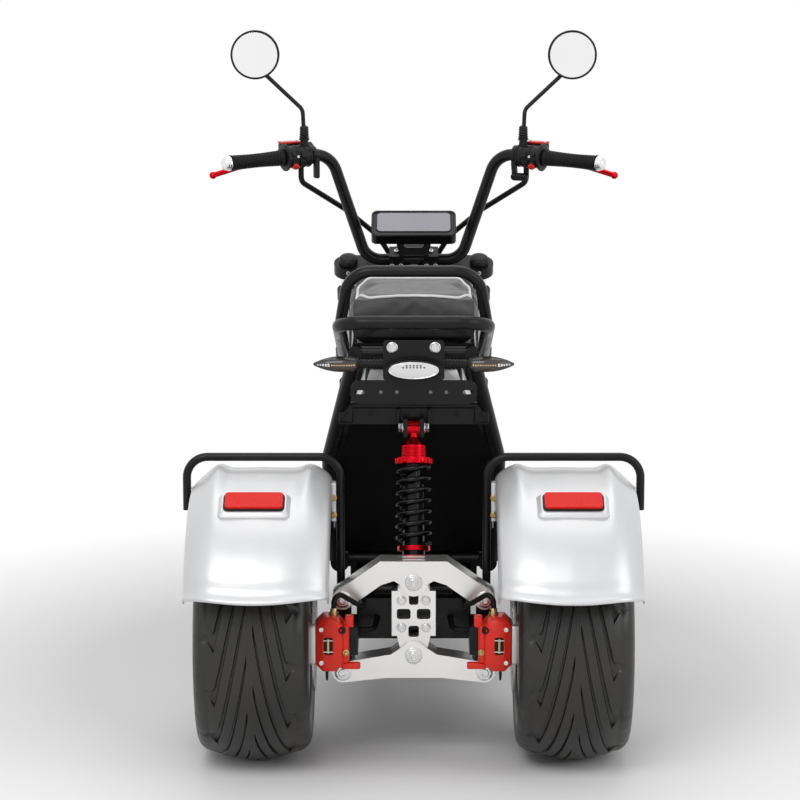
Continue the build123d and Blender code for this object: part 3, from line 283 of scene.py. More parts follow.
def dress(mesh, name, material, body, smooth_angle=40.0):
    """An object for a mesh, smooth apart from its sharp edges, riding on a body."""
    mesh.validate()
    mesh.polygons.foreach_set("use_smooth", [True] * len(mesh.polygons))
    mesh.set_sharp_from_angle(angle=math.radians(smooth_angle))
    mesh.materials.append(material)
    made = bpy.data.objects.new(name, mesh)
    bpy.context.scene.collection.objects.link(made)
    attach(made, body)
    return made


def outline(width, height, radius, steps=6):
    """Points round a rectangle with round corners, in millimetres."""
    points = []
    for corner, (right, up) in enumerate(((1, 1), (-1, 1), (-1, -1), (1, -1))):
        for i in range(steps + 1):
            angle = math.pi / 2 * (corner + i / steps)
            x = right * (width / 2 - radius) + radius * math.cos(angle)
            points.append((x, up * (height / 2 - radius) + radius * math.sin(angle)))
    return points


def facing(origin, normal, up=upward):
    """A matrix whose Z points along a normal and whose Y leans towards up."""
    z = Vector(normal).normalized()
    x = Vector(up).cross(z).normalized()
    made = Matrix((x, z.cross(x), z)).transposed().to_4x4()
    made.translation = origin
    return made


def grid_faces(rows, columns, wrap_rows=False, wrap_columns=False):
    """Quads of a grid whose points are listed row by row."""
    faces = []
    for r in range(rows if wrap_rows else rows - 1):
        for c in range(columns if wrap_columns else columns - 1):
            up, over = (r + 1) % rows, (c + 1) % columns
            faces.append((r * columns + c, r * columns + over, up * columns + over, up * columns + c))
    return faces


class Shapes:
    """Several small solids gathered into one mesh."""

    def __init__(self):
        self.verts = []
        self.faces = []

    def add(self, verts, faces):
        """Adds points and the faces between them."""
        start = len(self.verts)
        self.verts += [Vector(v) for v in verts]
        self.faces += [tuple(start + i for i in face) for face in faces]

    def skin(self, verts, rows, sides):
        """Adds rows of points round a body, with a face over each end."""
        faces = grid_faces(rows, sides, wrap_columns=True)
        faces.append(tuple(reversed(range(sides))))
        faces.append(tuple(range((rows - 1) * sides, rows * sides)))
        self.add(verts, faces)

    def lathe(self, profile, origin, axis, sides=24):
        """Turns (distance along, radius) points about an axis, with closed ends."""
        turn = Vector(axis).normalized().to_track_quat("Z", "Y")
        verts = []
        for along, radius in profile:
            for i in range(sides):
                angle = 2 * math.pi * i / sides
                local = Vector((radius * math.cos(angle), radius * math.sin(angle), along))
                verts.append(Vector(origin) + turn @ (local * MM))
        self.skin(verts, len(profile), sides)

    def tube(self, points, radius, sides=10, closed=False):
        """A round rod along points in metres; radius is in millimetres, one or one for each point."""
        points = [Vector(p) for p in points]
        count = len(points)
        radii = [radius] * count if isinstance(radius, (int, float)) else list(radius)
        normal = None
        verts = []
        for i, point in enumerate(points):
            after = points[(i + 1) % count] if closed or i < count - 1 else point
            before = points[i - 1] if closed or i else point
            tangent = (after - before).normalized()
            if normal is None:
                normal = tangent.orthogonal().normalized()
            normal = (normal - tangent * normal.dot(tangent)).normalized()
            side = tangent.cross(normal)
            for k in range(sides):
                angle = 2 * math.pi * k / sides
                verts.append(point + (normal * math.cos(angle) + side * math.sin(angle)) * radii[i] * MM)
        if closed:
            self.add(verts, grid_faces(count, sides, wrap_rows=True, wrap_columns=True))
        else:
            self.skin(verts, count, sides)

    def ring(self, line, matrix, height, radius, sides=10):
        """A round rod along a closed line, at a height over a matrix's XY plane."""
        points = [matrix @ (Vector((x, y, height)) * MM) for x, y in line]
        self.tube(points, radius, sides, closed=True)

    def nut(self, origin, axis, radius, height):
        """A six-sided nut with an eased upper edge."""
        self.lathe([(0, radius), (height * 0.8, radius), (height, radius * 0.86)], origin, axis, 6)

    def bolt(self, origin, axis, radius, height):
        """A round screw head with rounded shoulders and a round socket."""
        rows = [(0, radius), (height * 0.75, radius), (height * 0.95, radius * 0.92), (height, radius * 0.8)]
        rows += [(height, radius * 0.52), (height * 0.45, radius * 0.5)]
        self.lathe(rows, origin, axis, 24)

    def slab(self, size, matrix, bevel):
        """A block with rounded edges, its size and bevel in millimetres, placed by a matrix."""
        made = bmesh.new()
        bmesh.ops.create_cube(made, size=1.0)
        bmesh.ops.scale(made, vec=Vector(size) * MM, verts=made.verts)
        edges = list(made.edges)
        bmesh.ops.bevel(made, geom=edges, offset=bevel * MM, segments=3, profile=0.5, affect="EDGES")
        bmesh.ops.transform(made, matrix=matrix, verts=made.verts)
        made.verts.index_update()
        self.add([v.co.copy() for v in made.verts], [[v.index for v in f.verts] for f in made.faces])
        made.free()

    def stack(self, rows, matrix):
        """Joins outlines of as many points each, at heights along a matrix's Z, and closes both ends."""
        spots = [(x, y, height) for points, height in rows for x, y in points]
        self.skin([matrix @ (Vector(spot) * MM) for spot in spots], len(rows), len(rows[0][0]))

    def plate(self, width, height, radius, thick, matrix, edge=1.0):
        """A plate with round corners and an eased upper edge, standing on a matrix's XY plane."""
        full = outline(width, height, radius)
        inner = outline(width - 2 * edge, height - 2 * edge, max(radius - edge, 0.3))
        self.stack([(full, 0), (full, thick - edge), (inner, thick)], matrix)

    def brick(self, x, ahead, above, bevel):
        """A block with rounded edges between two places along each direction."""
        ends = (sorted(x), sorted(ahead), sorted(above))
        middle = place(*[sum(pair) / 2 for pair in ends])
        self.slab([pair[1] - pair[0] for pair in ends], Matrix.Translation(middle), bevel)

    def build(self, name, material, body, smooth_angle=40.0):
        """The gathered solids as one object."""
        return piece(name, self.verts, self.faces, material, body, smooth_angle)


def thicken(sheet, thickness, offset=-1):
    """Gives a sheet a wall in millimetres, inward from its face or, with an offset of 0, to both sides."""
    wall = sheet.modifiers.new("wall", "SOLIDIFY")
    wall.thickness = thickness * MM
    wall.offset = offset


def paint(material, *names):
    """Gives nodes a material."""
    for name in names:
        mesh = nodes[name].data
        mesh.materials.clear()
        mesh.materials.append(material)


paint(black_paint, "frame", "grab_rail", "tail_bracket", "swingarm", "uprights", "fender_hoops", "handlebar")
paint(black_paint, "fork_yokes", "fork_sliders", "bar_clamps", "display_bracket", "headlamp_bracket")
paint(black_panel, "rear_panel", "battery_tray", "seat_pan")
paint(black_plastic, "switch_pods", "turn_signals", "mirrors")
paint(gloss_plastic, "display", "headlamp", "shock_spring", "shock_damper", "tail_lamp")
paint(silver_paint, "rear_fenders", "front_fender", "body_cover")
paint(aluminium, "upper_link", "lower_link", "link_hub")
paint(cast_alloy, "rear_motor_wheel_left", "rear_motor_wheel_right", "front_rim")
paint(steel, "pivot_pins", "front_axle", "rear_disc_left", "rear_disc_right", "front_disc")
paint(chrome, "fork_tubes", "bar_ends")
paint(red_paint, "rear_calipers", "front_caliper")
paint(red_anodised, "shock_collars", "brake_levers")
paint(hose_rubber, "rear_cables", "bar_looms")
paint(grip_rubber, "grips")
paint(deck_rubber, "footboard")
paint(battery_case, "battery")
paint(tyre_rubber, "rear_tyre_left", "rear_tyre_right", "front_tyre")
paint(seat_leather, "seat_cushion")
paint(red_reflector, "rear_reflectors")
paint(mirror_silver, "mirror_glass")
paint(clear_lens, "headlamp_lens")


# Tyres with a directional tread

tyre_radius = 238.5
tyre_half = 107.5
tread_half = 80.0
bead_radius = 152.65
bead_x = 91.7
bead_depth = 14
wall_foot = 167.5
widest_rise = 40
shoulder_drop = 16.5
groove_pairs = 13
groove_sweep = 74.0
groove_start = 0.05
groove_corner = 0.62
groove_end = 0.93
groove_depth = 5.8
tick_shares = (0.82, 0.99)
tick_reach = 40
tick_depth = 1.1
seam_depth = 0.7


def circle_through(a, b, c):
    """Centre and radius of the circle through three (x, y) points."""
    (ax, ay), (bx, by), (cx, cy) = a, b, c
    d = 2 * (ax * (by - cy) + bx * (cy - ay) + cx * (ay - by))
    sa, sb, sc = ax * ax + ay * ay, bx * bx + by * by, cx * cx + cy * cy
    x = (sa * (by - cy) + sb * (cy - ay) + sc * (ay - by)) / d
    y = (sa * (cx - bx) + sb * (ax - cx) + sc * (bx - ax)) / d
    return (x, y), math.hypot(ax - x, ay - y)


def tyre_rows(half):
    """Half the section of a tyre of a half width, from the crown's middle to the bead: (across, radius)."""
    trim = tyre_half - half
    edge = tread_half - trim
    shoulder = (edge, tyre_radius - shoulder_drop)
    foot = (bead_x - trim, wall_foot)
    (cx, cy), crown = circle_through((-shoulder[0], shoulder[1]), (0, tyre_radius), shoulder)
    across = [0, 1.2, 2.4, 3.6, 5.2, 6.6]
    across += list(np.arange(9.0, groove_corner * half - 1, 3.2))
    across += list(np.arange(groove_corner * half, edge - 0.5, 2.2))
    rows = [(x, cy + math.sqrt(crown**2 - (x - cx) ** 2)) for x in across]
    (wx, wy), wall = circle_through(shoulder, (half, bead_radius + widest_rise), foot)
    start = math.atan2(shoulder[1] - wy, shoulder[0] - wx)
    stop = math.atan2(foot[1] - wy, foot[0] - wx)
    for i in range(19):
        angle = start + (stop - start) * i / 18
        rows.append((wx + wall * math.cos(angle), wy + wall * math.sin(angle)))
    rows.append((bead_x - trim, bead_radius))
    rows.append((bead_x - trim - bead_depth, bead_radius))
    return rows


def ramp(value, start, stop):
    """Rises evenly from 0 at start to 1 at stop."""
    return min(max((value - start) / (stop - start), 0.0), 1.0)


def groove_path(share):
    """How far round, in degrees, a groove has come at a share of the half width."""
    along = ramp(share, groove_start, groove_corner)
    hook = ramp(share, groove_corner, groove_end)
    return groove_sweep * along**0.9 + 3.0 * hook


def groove_width(share):
    """A groove's width round the tyre, in degrees: full at its corner and narrow in its hook."""
    along = ramp(share, groove_start, groove_corner)
    hook = ramp(share - groove_corner, 0, 0.1)
    return (5.4 + 5.0 * along) * (1 - hook) + 4.4 * hook


def groove_depth_at(share):
    """A groove's depth at a share of the half width."""
    rise = ramp(share - groove_start, 0, 0.02)
    fall = ramp(groove_end - share, 0, 0.14)
    hook = 1 - 0.45 * ramp(share - groove_corner, 0, 0.06)
    return groove_depth * rise * fall * hook


def make_tyre(node, body):
    """A tyre whose grid follows its grooves, so that their edges are crisp."""
    middle = centre(node)
    low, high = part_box(node)
    half = (high.x - low.x) / 2 / MM
    half_rows = tyre_rows(half)
    rows = [(-x, r, -1) for x, r in reversed(half_rows[1:])] + [(x, r, 1) for x, r in half_rows]
    half_pitch = 360 / groove_pairs / 2
    deep = [0, 1, 1, 1, 0, 0, 0]
    verts = []
    for x, radius, hand in rows:
        share = abs(x) / half
        on_wall = share > tick_shares[0] and radius > tyre_radius - tick_reach
        width = groove_width(share)
        wall = min(1.5, width * 0.25)
        gap = half_pitch - width
        cuts = [0, wall, width / 2, width - wall, width, width + gap / 3, width + 2 * gap / 3]
        for step in range(2 * groove_pairs):
            grooved = (step % 2 == 0) == (hand < 0)
            for cut, share_deep in zip(cuts, deep):
                angle = math.radians(step * half_pitch + cut + groove_path(share))
                sink = groove_depth_at(share) * share_deep if grooved and radius > bead_radius + 20 else 0
                if abs(x) < 1.0:
                    sink = seam_depth
                if on_wall and share < tick_shares[1] and cut in cuts[1::2]:
                    sink = tick_depth
                r = (radius - sink) * MM
                y = middle.y - r * math.sin(angle)
                verts.append((middle.x + x * MM, y, middle.z + r * math.cos(angle)))
    columns = 2 * groove_pairs * len(deep)
    faces = grid_faces(len(rows), columns, wrap_rows=True, wrap_columns=True)
    made = piece(f"{node}_tread", verts, faces, tyre_rubber, body, 35)
    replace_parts(made, node)


for side, hand in sides:
    make_tyre(f"rear_tyre_{hand}", f"rear_wheel_{hand}")
make_tyre("front_tyre", "front_wheel")


# Rear mudguards: two ridges that fade towards the lip; the platform for the reflector and the ears for the
# hoop are added further down

fender_radius = 325.0
wheel_x = 302.0
fender_x = 289.0
fender_half = 134.0
fender_front = -52.0
fender_rear = 66.0
fender_wall = 3.0
fender_lip = 7.0
fender_groove = 2.0
ridged = [
    (134, -62), (134, -40), (112, -20), (92, -2), (82, 4), (73, 1), (62, -5), (30, -5), (-4, -4), (-40, -5),
    (-68, -5), (-80, 0), (-90, 4), (-100, 0), (-116, -8), (-130, -19), (-134, -30), (-134, -62),
]
rounded = [
    (134, -62), (134, -44), (122, -26), (104, -12), (86, -5), (70, -2), (52, 0), (26, 1), (0, 2), (-26, 1),
    (-52, 0), (-70, -2), (-86, -5), (-102, -10), (-118, -17), (-130, -26), (-134, -34), (-134, -62),
]


def ease(value, start, stop):
    """Rises smoothly from 0 at start to 1 at stop."""
    share = ramp(value, start, stop)
    return share * share * (3 - 2 * share)


def resample(points, count, passes):
    """Evenly spaced points along a line of points, with its corners rounded by averaging."""
    points = np.array(points, float)
    lengths = np.concatenate(([0], np.cumsum(np.linalg.norm(np.diff(points, axis=0), axis=1))))
    even = np.linspace(0, lengths[-1], count)
    line = np.stack([np.interp(even, lengths, points[:, i]) for i in range(points.shape[1])], axis=1)
    for _ in range(passes):
        line[1:-1] = (line[:-2] + 2 * line[1:-1] + line[2:]) / 4
    return line


def make_fender(side, hand):
    """One rear mudguard as a sheet round its wheel."""
    columns = 90
    steps = 84
    sharp = resample(ridged, columns, 5)
    soft = resample(rounded, columns, 5)
    middle = centre("rear_tyre_" + hand)
    verts = []
    for step in range(steps + 1):
        share = step / steps
        for (u0, h0), (u1, h1) in zip(sharp, soft):
            end = fender_rear - 3.0 * (u0 / fender_half) ** 2
            angle = fender_front + (end - fender_front) * share
            fade = ease(angle, 8, 50)
            across = u0 + (u1 - u0) * fade
            height = h0 + (h1 - h0) * fade
            left = (1 - share) * (end - fender_front) * math.pi / 180 * fender_radius
            face = ease(height, -60, -44)
            lip = fender_lip * (1 - ease(left, 1, 13))
            groove = fender_groove * ease(left, 42, 30) * ease(left, 8, 20)
            height += face * (lip - groove)
            r = (fender_radius + height) * MM
            turn = math.radians(angle)
            x = middle.x + side * (fender_x - wheel_x + across) * MM
            verts.append((x, middle.y - r * math.sin(turn), middle.z + r * math.cos(turn)))
    faces = grid_faces(steps + 1, columns)
    if side < 0:
        faces = [tuple(reversed(f)) for f in faces]
    made = piece(f"rear_fender_{hand}", verts, faces, silver_paint, "chassis", 50)
    thicken(made, fender_wall)
    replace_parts(made, "rear_fenders")


for side, hand in sides:
    make_fender(side, hand)


# Shock absorber's coil

shock_low = place(0, 52, 106.5)
shock_high = place(0, 136, 378)
shock_way = (shock_high - shock_low).normalized()
shock_side = Vector((1, 0, 0))
shock_front = shock_way.cross(shock_side)
coil_along = (58.3, 206.9)
coil_turns = 7
coil_steps = 40
coil_radius = 31.0
wire_radius = 5.0


def round_shock(angle):
    """The direction outward from the shock absorber's axis at an angle round it."""
    return shock_side * math.cos(angle) + shock_front * math.sin(angle)


def make_spring():
    """A round wire wound about the shock absorber."""
    coil = Shapes()
    points = []
    for i in range(coil_turns * coil_steps + 1):
        share = i / (coil_turns * coil_steps)
        along = coil_along[0] + (coil_along[1] - coil_along[0]) * share
        out = round_shock(2 * math.pi * coil_turns * share)
        points.append(shock_low + (shock_way * along + out * coil_radius) * MM)
    coil.tube(points, wire_radius, 14)
    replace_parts(coil.build("shock_coil", gloss_plastic, "chassis", 60), "shock_spring")


make_spring()


# Seat: a stuffed cushion with piping round the passenger's pad

cushion_voxel = 5.0
cushion_shrink = 5.0
cushion_cap = 9.0
cushion_pressure = 4.0
cushion_mass = 0.25
cushion_stretch = 22
cushion_bending = 1.2
cushion_frames = 20
panel_half = 111.0
panel_ahead = (167.0, 378.0)
piping_radius = 3.0


def settle(made):
    """Replaces an object's mesh by what its modifiers make of it."""
    graph = bpy.context.evaluated_depsgraph_get()
    mesh = bpy.data.meshes.new_from_object(made.evaluated_get(graph))
    made.modifiers.clear()
    made.data = mesh
    mesh.polygons.foreach_set("use_smooth", [True] * len(mesh.polygons))


def points_of(mesh):
    """A mesh's points as an array."""
    points = np.empty(len(mesh.vertices) * 3)
    mesh.vertices.foreach_get("co", points)
    return points.reshape(-1, 3)


def inflate(made):
    """Blows a closed cover up by cloth pressure, and holds each point within a short way of its start."""
    start = points_of(made.data)
    cloth = made.modifiers.new("cloth", "CLOTH")
    cloth.settings.use_pressure = True
    cloth.settings.uniform_pressure_force = cushion_pressure
    cloth.settings.mass = cushion_mass
    cloth.settings.tension_stiffness = cushion_stretch
    cloth.settings.compression_stiffness = cushion_stretch
    cloth.settings.bending_stiffness = cushion_bending
    cloth.settings.effector_weights.gravity = 0
    scene = bpy.context.scene
    for step in range(1, cushion_frames + 1):
        scene.frame_set(step)
    settle(made)
    scene.frame_set(1)
    moved = points_of(made.data) - start
    length = np.linalg.norm(moved, axis=1, keepdims=True)
    moved *= np.minimum(1, cushion_cap * MM / np.maximum(length, 1e-9))
    seat_floor = start[:, 2].min() + 4 * MM
    moved[:, 2] = np.where(start[:, 2] < seat_floor, 0, moved[:, 2])
    made.data.vertices.foreach_set("co", (start + moved).ravel())
    made.data.update()


def make_cushion():
    """The seat's cover: a little smaller than its room, then blown up over its foam by cloth pressure."""
    made = dress(nodes["seat_cushion"].data.copy(), "seat_cover", seat_leather, "chassis", 60)
    made.data.materials.clear()
    made.data.materials.append(seat_leather)
    # The second slot is the painted sheen of the pad's top.
    made.data.materials.append(seat_top_painted_sheen)
    weld = made.modifiers.new("weld", "WELD")
    weld.merge_threshold = 0.01 * MM
    remesh = made.modifiers.new("remesh", "REMESH")
    remesh.mode = "VOXEL"
    remesh.voxel_size = cushion_voxel * MM
    smooth = made.modifiers.new("smooth", "SMOOTH")
    smooth.factor = 0.5
    smooth.iterations = 10
    inward = made.modifiers.new("inward", "DISPLACE")
    inward.strength = -cushion_shrink * MM
    inward.mid_level = 0
    settle(made)
    inflate(made)
    ease_out = made.modifiers.new("ease", "SMOOTH")
    ease_out.factor = 0.5
    ease_out.iterations = 4
    fine = made.modifiers.new("fine", "SUBSURF")
    fine.levels = fine.render_levels = 1
    settle(made)
    return made


def panel_line(count):
    """Points round the passenger's pad as seen from above: (x, ahead)."""
    length = panel_ahead[1] - panel_ahead[0]
    middle = sum(panel_ahead) / 2
    loop = outline(2 * panel_half, length, 26, 8)
    closed = resample(loop + loop[:1], count + 1, 2)[:-1]
    return [(x, middle + y + 8 * (x / panel_half) ** 2 * (y < 0)) for x, y in closed]


def make_piping(cover):
    """White piping sewn round the pad, laid on the cover's surface."""
    tree = BVHTree.FromObject(cover, bpy.context.evaluated_depsgraph_get())
    cord = Shapes()
    line = []
    for x, ahead in panel_line(150):
        hit = tree.ray_cast(place(x, ahead, 900), Vector((0, 0, -1)))[0]
        line.append(hit + Vector((0, 0, 0.6 * MM)))
    cord.tube(line, piping_radius, 10, closed=True)
    cord.build("seat_piping", white_piping, "chassis", 60)


def paint_seat_top_sheen(cover):
    """Gives the up-facing faces of the pad inside the piping a paler grey: a painted sheen on the pad's top.
    """
    middle = sum(panel_ahead) / 2
    half = (panel_ahead[1] - panel_ahead[0]) / 2
    for face in cover.data.polygons:
        x, y = face.center[:2]
        ahead = (y - rear_axle.y) / MM
        inside = abs(x / MM) < panel_half and abs(ahead - middle) < half
        face.material_index = 1 if inside and face.normal.z > 0.35 else 0


seat_cover = make_cushion()
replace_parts(seat_cover, "seat_cushion")
paint_seat_top_sheen(seat_cover)
make_piping(seat_cover)


# Mudguards' platforms, reflector frames, ears and screws

reflector_angle = 28.0
reflector_seat = 330.0
ear_ahead = (27, 53)


def round_wheel(side, across, angle, radius):
    """A place over a rear wheel and the direction outward there, at an angle back from the top."""
    turn = math.radians(angle)
    spot = place(side * across, -radius * math.sin(turn), radius * math.cos(turn))
    return spot, Vector((0, -math.sin(turn), math.cos(turn)))


def make_fender_fittings(side, hand):
    """What one mudguard carries: a stepped platform, a black frame round the reflector, and its ears."""
    spot, out = round_wheel(side, fender_x + 6, reflector_angle, reflector_seat)
    matrix = facing(spot, out)
    step = Shapes()
    low, top = outline(140, 76, 14), outline(122, 58, 8)
    shelf = [(x, y - 4) for x, y in outline(130, 66, 10)]
    step.stack([(low, -13), (shelf, -4), (top, -1.2), (outline(119, 55, 7), 0)], matrix)
    ears = ((148.3, 158, 215, 290), (420, 425.7, 236, 280))
    for inner, outer, bottom, head in ears:
        step.brick((side * inner, side * outer), ear_ahead, (bottom, head), 2.0)
    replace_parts(step.build(f"rear_fender_platform_{hand}", silver_paint, "chassis", 30), "rear_fenders")
    rim = Shapes()
    rim.ring(outline(109, 45, 8), matrix, 1.6, 2.4, 8)
    rim.build(f"reflector_frame_{hand}", black_plastic, "chassis")
    screws = Shapes()
    for above in (228.3, 261.6):
        screws.lathe([(0, 6.4), (1.2, 6.4), (1.5, 6)], place(side * 153, ear_ahead[0], above), backward)
        screws.bolt(place(side * 153, ear_ahead[0] - 1.2, above), backward, 4.6, 4)
    for above in (247, 269):
        screws.bolt(place(side * 422.8, ear_ahead[0], above), backward, 2.6, 2)
    screws.build(f"fender_screws_{hand}", brass, "chassis")


for side, hand in sides:
    make_fender_fittings(side, hand)


# Linkage: washers, sockets, hub screws and white marks

link_rear, link_front = -42, 14
pin_spots = [(0, 112), (0, -31), (-135, 79), (135, 79), (-135, -64), (135, -64)]
hub_face = -31.7
hub_screws = [(-23, 22), (23, 22), (-23, 75), (23, 75)]

fasteners = Shapes()
for x, above in pin_spots:
    for face, axis in ((link_rear, backward), (link_front, forward)):
        fasteners.lathe([(0, 16.2), (1.8, 16.2), (2.4, 15.4)], place(x, face, above), axis, 28)
        fasteners.bolt(place(x, face + 7 * axis[1], above), axis, 8.5, 2.6)
for x, above in hub_screws:
    fasteners.lathe([(0, 9.6), (1.0, 9.6), (1.4, 9.2)], place(x, hub_face, above), backward)
    fasteners.bolt(place(x, hub_face - 1.2, above), backward, 7.4, 5.5)
fasteners.build("linkage_fasteners", steel, "chassis")

# White plates where the linkage's top plate shows two bright grooves.
marks = Shapes()
for ahead in (-26, -2):
    marks.plate(44, 7, 3.4, 0.7, facing(place(0, ahead, 152.9), upward, forward), 0.2)
marks.build("link_marks", white_mark_colour, "chassis")


# Rear calipers: eight-sided bodies, pad window, plugs, hose union and hanging pad pin

caliper_x = (121, 203)
caliper_ahead = (-140, -76)
caliper_above = (-37, 65)
body_x = (131, 185.5)
jaw_x = 194.5
bridge_ahead = -116
window_x, window_above = 160, 14


def octagon(width, height, corner):
    """Points round a rectangle with cut corners, in millimetres."""
    w, h = width / 2, height / 2
    x, y = w - corner, h - corner
    return [(w, -y), (w, y), (x, h), (-x, h), (-w, y), (-w, -y), (-x, -h), (x, -h)]


def make_caliper(side, hand):
    """One rear caliper with an outer jaw beyond the disc, and a lug against its bracket."""
    width, height = body_x[1] - body_x[0], caliper_above[1] - caliper_above[0]
    depth = caliper_ahead[1] - caliper_ahead[0]
    middle = sum(body_x) / 2
    matrix = facing(place(side * middle, caliper_ahead[1], sum(caliper_above) / 2), backward)
    body = Shapes()
    wide = octagon(width, height, 15)
    rows = [(octagon(width - 6, height - 6, 13), 0), (wide, 4), (wide, depth - 9)]
    rows += [(octagon(width - 3, height - 3, 14), depth - 4), (octagon(width - 11, height - 11, 11), depth)]
    body.stack(rows, matrix)
    body.brick((side * caliper_x[0], side * (body_x[0] + 6)), (-132, -79), (-22, 50), 6)
    body.brick((side * 100, side * 136), (-126, -110), (-35, -23), 3)
    body.brick((side * 113, side * 129), (-126, -104), (46, 67), 3)
    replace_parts(body.build(f"rear_caliper_{hand}", red_paint, "chassis", 50), "rear_calipers")
    jaw = Shapes()
    jaw.brick((side * (body_x[1] - 6), side * caliper_x[1]), (-136, bridge_ahead), (-24, 52), 6)
    jaw.brick((side * jaw_x, side * caliper_x[1]), (-135, -80), (-22, 50), 4)
    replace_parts(jaw.build(f"rear_caliper_jaw_{hand}", cast_alloy, "chassis", 50), "rear_calipers")


def make_caliper_fittings(side, hand):
    """The small parts of one rear caliper."""
    back = caliper_ahead[0]
    window = facing(place(side * window_x, back, window_above), backward)
    rim = Shapes()
    rim.ring(outline(20, 37, 5), window, 0.4, 1.9, 8)
    rim.build(f"caliper_window_rim_{hand}", red_paint, "chassis")
    dark = Shapes()
    # A black plate fills the pad window: painted shade for the window's hollow, with the pads' edges laid on
    # it.
    dark.plate(19, 36, 5, 0.6, window, 0.3)
    for pad in (-6, 6):
        dark.plate(3.4, 30, 1, 1.4, window @ Matrix.Translation((pad * MM, 0, 0)), 0.4)
    dark.bolt(place(side * 134, -132, 44), backward, 7, 9.5)
    dark.tube([place(side * 163, -118, above) for above in (-34, -41, -52, -58)], [3, 3, 2.6, 1.6], 10)
    dark.build(f"caliper_plugs_and_window_shade_{hand}", black_plastic, "chassis")
    gold = Shapes()
    gold.plate(4.4, 28, 1.5, 1.7, window, 0.5)
    union = [(0, 9), (5, 9), (5.6, 7.2), (13, 6.6), (14, 5.6)]
    bleeder = [(0, 6), (4, 6), (4.6, 3.6), (11, 3.4), (12, 2.4)]
    gold.lathe(union, place(side * 150, -104, 64.6), upward, 12)
    gold.lathe(bleeder, place(side * 126.5, -131.5, 0), backward, 16)
    gold.build(f"caliper_brass_{hand}", brass, "chassis")
    bright = Shapes()
    for above in (3, 25):
        ends = [window @ Vector((x * MM, (above - window_above) * MM, 1.6 * MM)) for x in (-9, 9)]
        bright.tube(ends, 1.2, 10)
    for above in (-18, 46):
        bright.bolt(place(side * 173, back + 0.4, above), backward, 4.6, 3.6)
    bright.build(f"caliper_pins_{hand}", steel, "chassis")


for side, hand in sides:
    make_caliper(side, hand)
    make_caliper_fittings(side, hand)


# Shock absorber: nuts on its pins and ribs round its upper cap

nuts = Shapes()
for spot in (shock_low, shock_high):
    for side in (-1, 1):
        face = spot + Vector((side * 20 * MM, 0, 0))
        nuts.lathe([(0, 12), (1.5, 12), (1.8, 11.6)], face, (side, 0, 0), 24)
        nuts.nut(face + Vector((side * 1.6 * MM, 0, 0)), (side, 0, 0), 10.2, 8)
nuts.build("shock_nuts", steel, "chassis", 25)

collar_teeth = 12
collar_along = 218.2
tooth_radius = 34.6
cap_radius, rib_radius = 25.05, 26.4
cap_ribs = Shapes()
rib_line = [(226, cap_radius)]
for i in range(4):
    start = 227.5 + 5 * i
    rib_line += [(start, cap_radius), (start + 0.5, rib_radius)]
    rib_line += [(start + 2.5, rib_radius), (start + 3, cap_radius)]
cap_ribs.lathe(rib_line, shock_low, shock_way, 40)
for i in range(collar_teeth):
    out = round_shock(2 * math.pi * i / collar_teeth)
    tooth = shock_low + (shock_way * collar_along + out * tooth_radius) * MM
    cap_ribs.slab((8, 11, 3.2), facing(tooth, out, shock_way), 0.8)
cap_ribs.build("shock_cap_ribs", red_anodised, "chassis", 30)


# Tail: screws, lamp lens with its ring and diodes, signal lenses

tail_face = 2
lamp_above, lamp_back = 516.5, -20
signal_ahead, signal_above = 20, 522
leaf_start, leaf_end = 104, 190
leaf_angle = 64
stalk_start = 58

tail_screws = Shapes()
for x in (-40.5, 40.5):
    tail_screws.lathe([(0, 10.5), (1.4, 10.5), (1.8, 10)], place(x, tail_face, 557), backward)
    tail_screws.bolt(place(x, tail_face - 1.6, 557), backward, 8.2, 6)
for x in (-45, 45):
    tail_screws.bolt(place(x, tail_face, 506), backward, 4.2, 3)
tail_screws.build("tail_screws", steel, "chassis")


def ellipse(half_width, half_height, count=56):
    """Points round an ellipse, in millimetres."""
    steps = [2 * math.pi * i / count for i in range(count)]
    return [(half_width * math.cos(t), half_height * math.sin(t)) for t in steps]


lamp_matrix = facing(place(0, lamp_back, lamp_above), backward)
ring = Shapes()
ring.ring(ellipse(46.4, 15.6), lamp_matrix, 0.2, 1.3)
ring.build("tail_lamp_ring", chrome, "chassis", 60)
lens = Shapes()
lens_edge = ellipse(45, 14.4)
lens_rows = [(lens_edge, -0.4), (lens_edge, 1.0)]
lens_rows += [(ellipse(38, 11), 2.4), (ellipse(20, 6), 3.2), (ellipse(6, 2), 3.4)]
lens.stack(lens_rows, lamp_matrix)
lens.build("tail_lamp_lens", lamp_lens, "chassis", 60)
diodes = Shapes()
diodes.ring(ellipse(50.4, 17.4), lamp_matrix, -0.4, 2.2)
for count, up, height in ((5, 9.4, 2.2), (7, 5.8, 2.7)):
    for i in range(count):
        at = lamp_matrix @ Matrix.Translation(Vector(((i - (count - 1) / 2) * 6.6, up, height)) * MM)
        diodes.plate(3.4, 2.4, 0.6, 0.9, at, 0.3)
diodes.build("tail_lamp_diodes", gloss_plastic, "chassis")


def leaf_radius(x):
    """A signal's radius at a distance from the middle of the scooter."""
    (cx, cy), reach = circle_through((leaf_start, 10), (leaf_start + 36, 15), (leaf_end, 2))
    return cy + math.sqrt(reach**2 - (x - cx) ** 2)


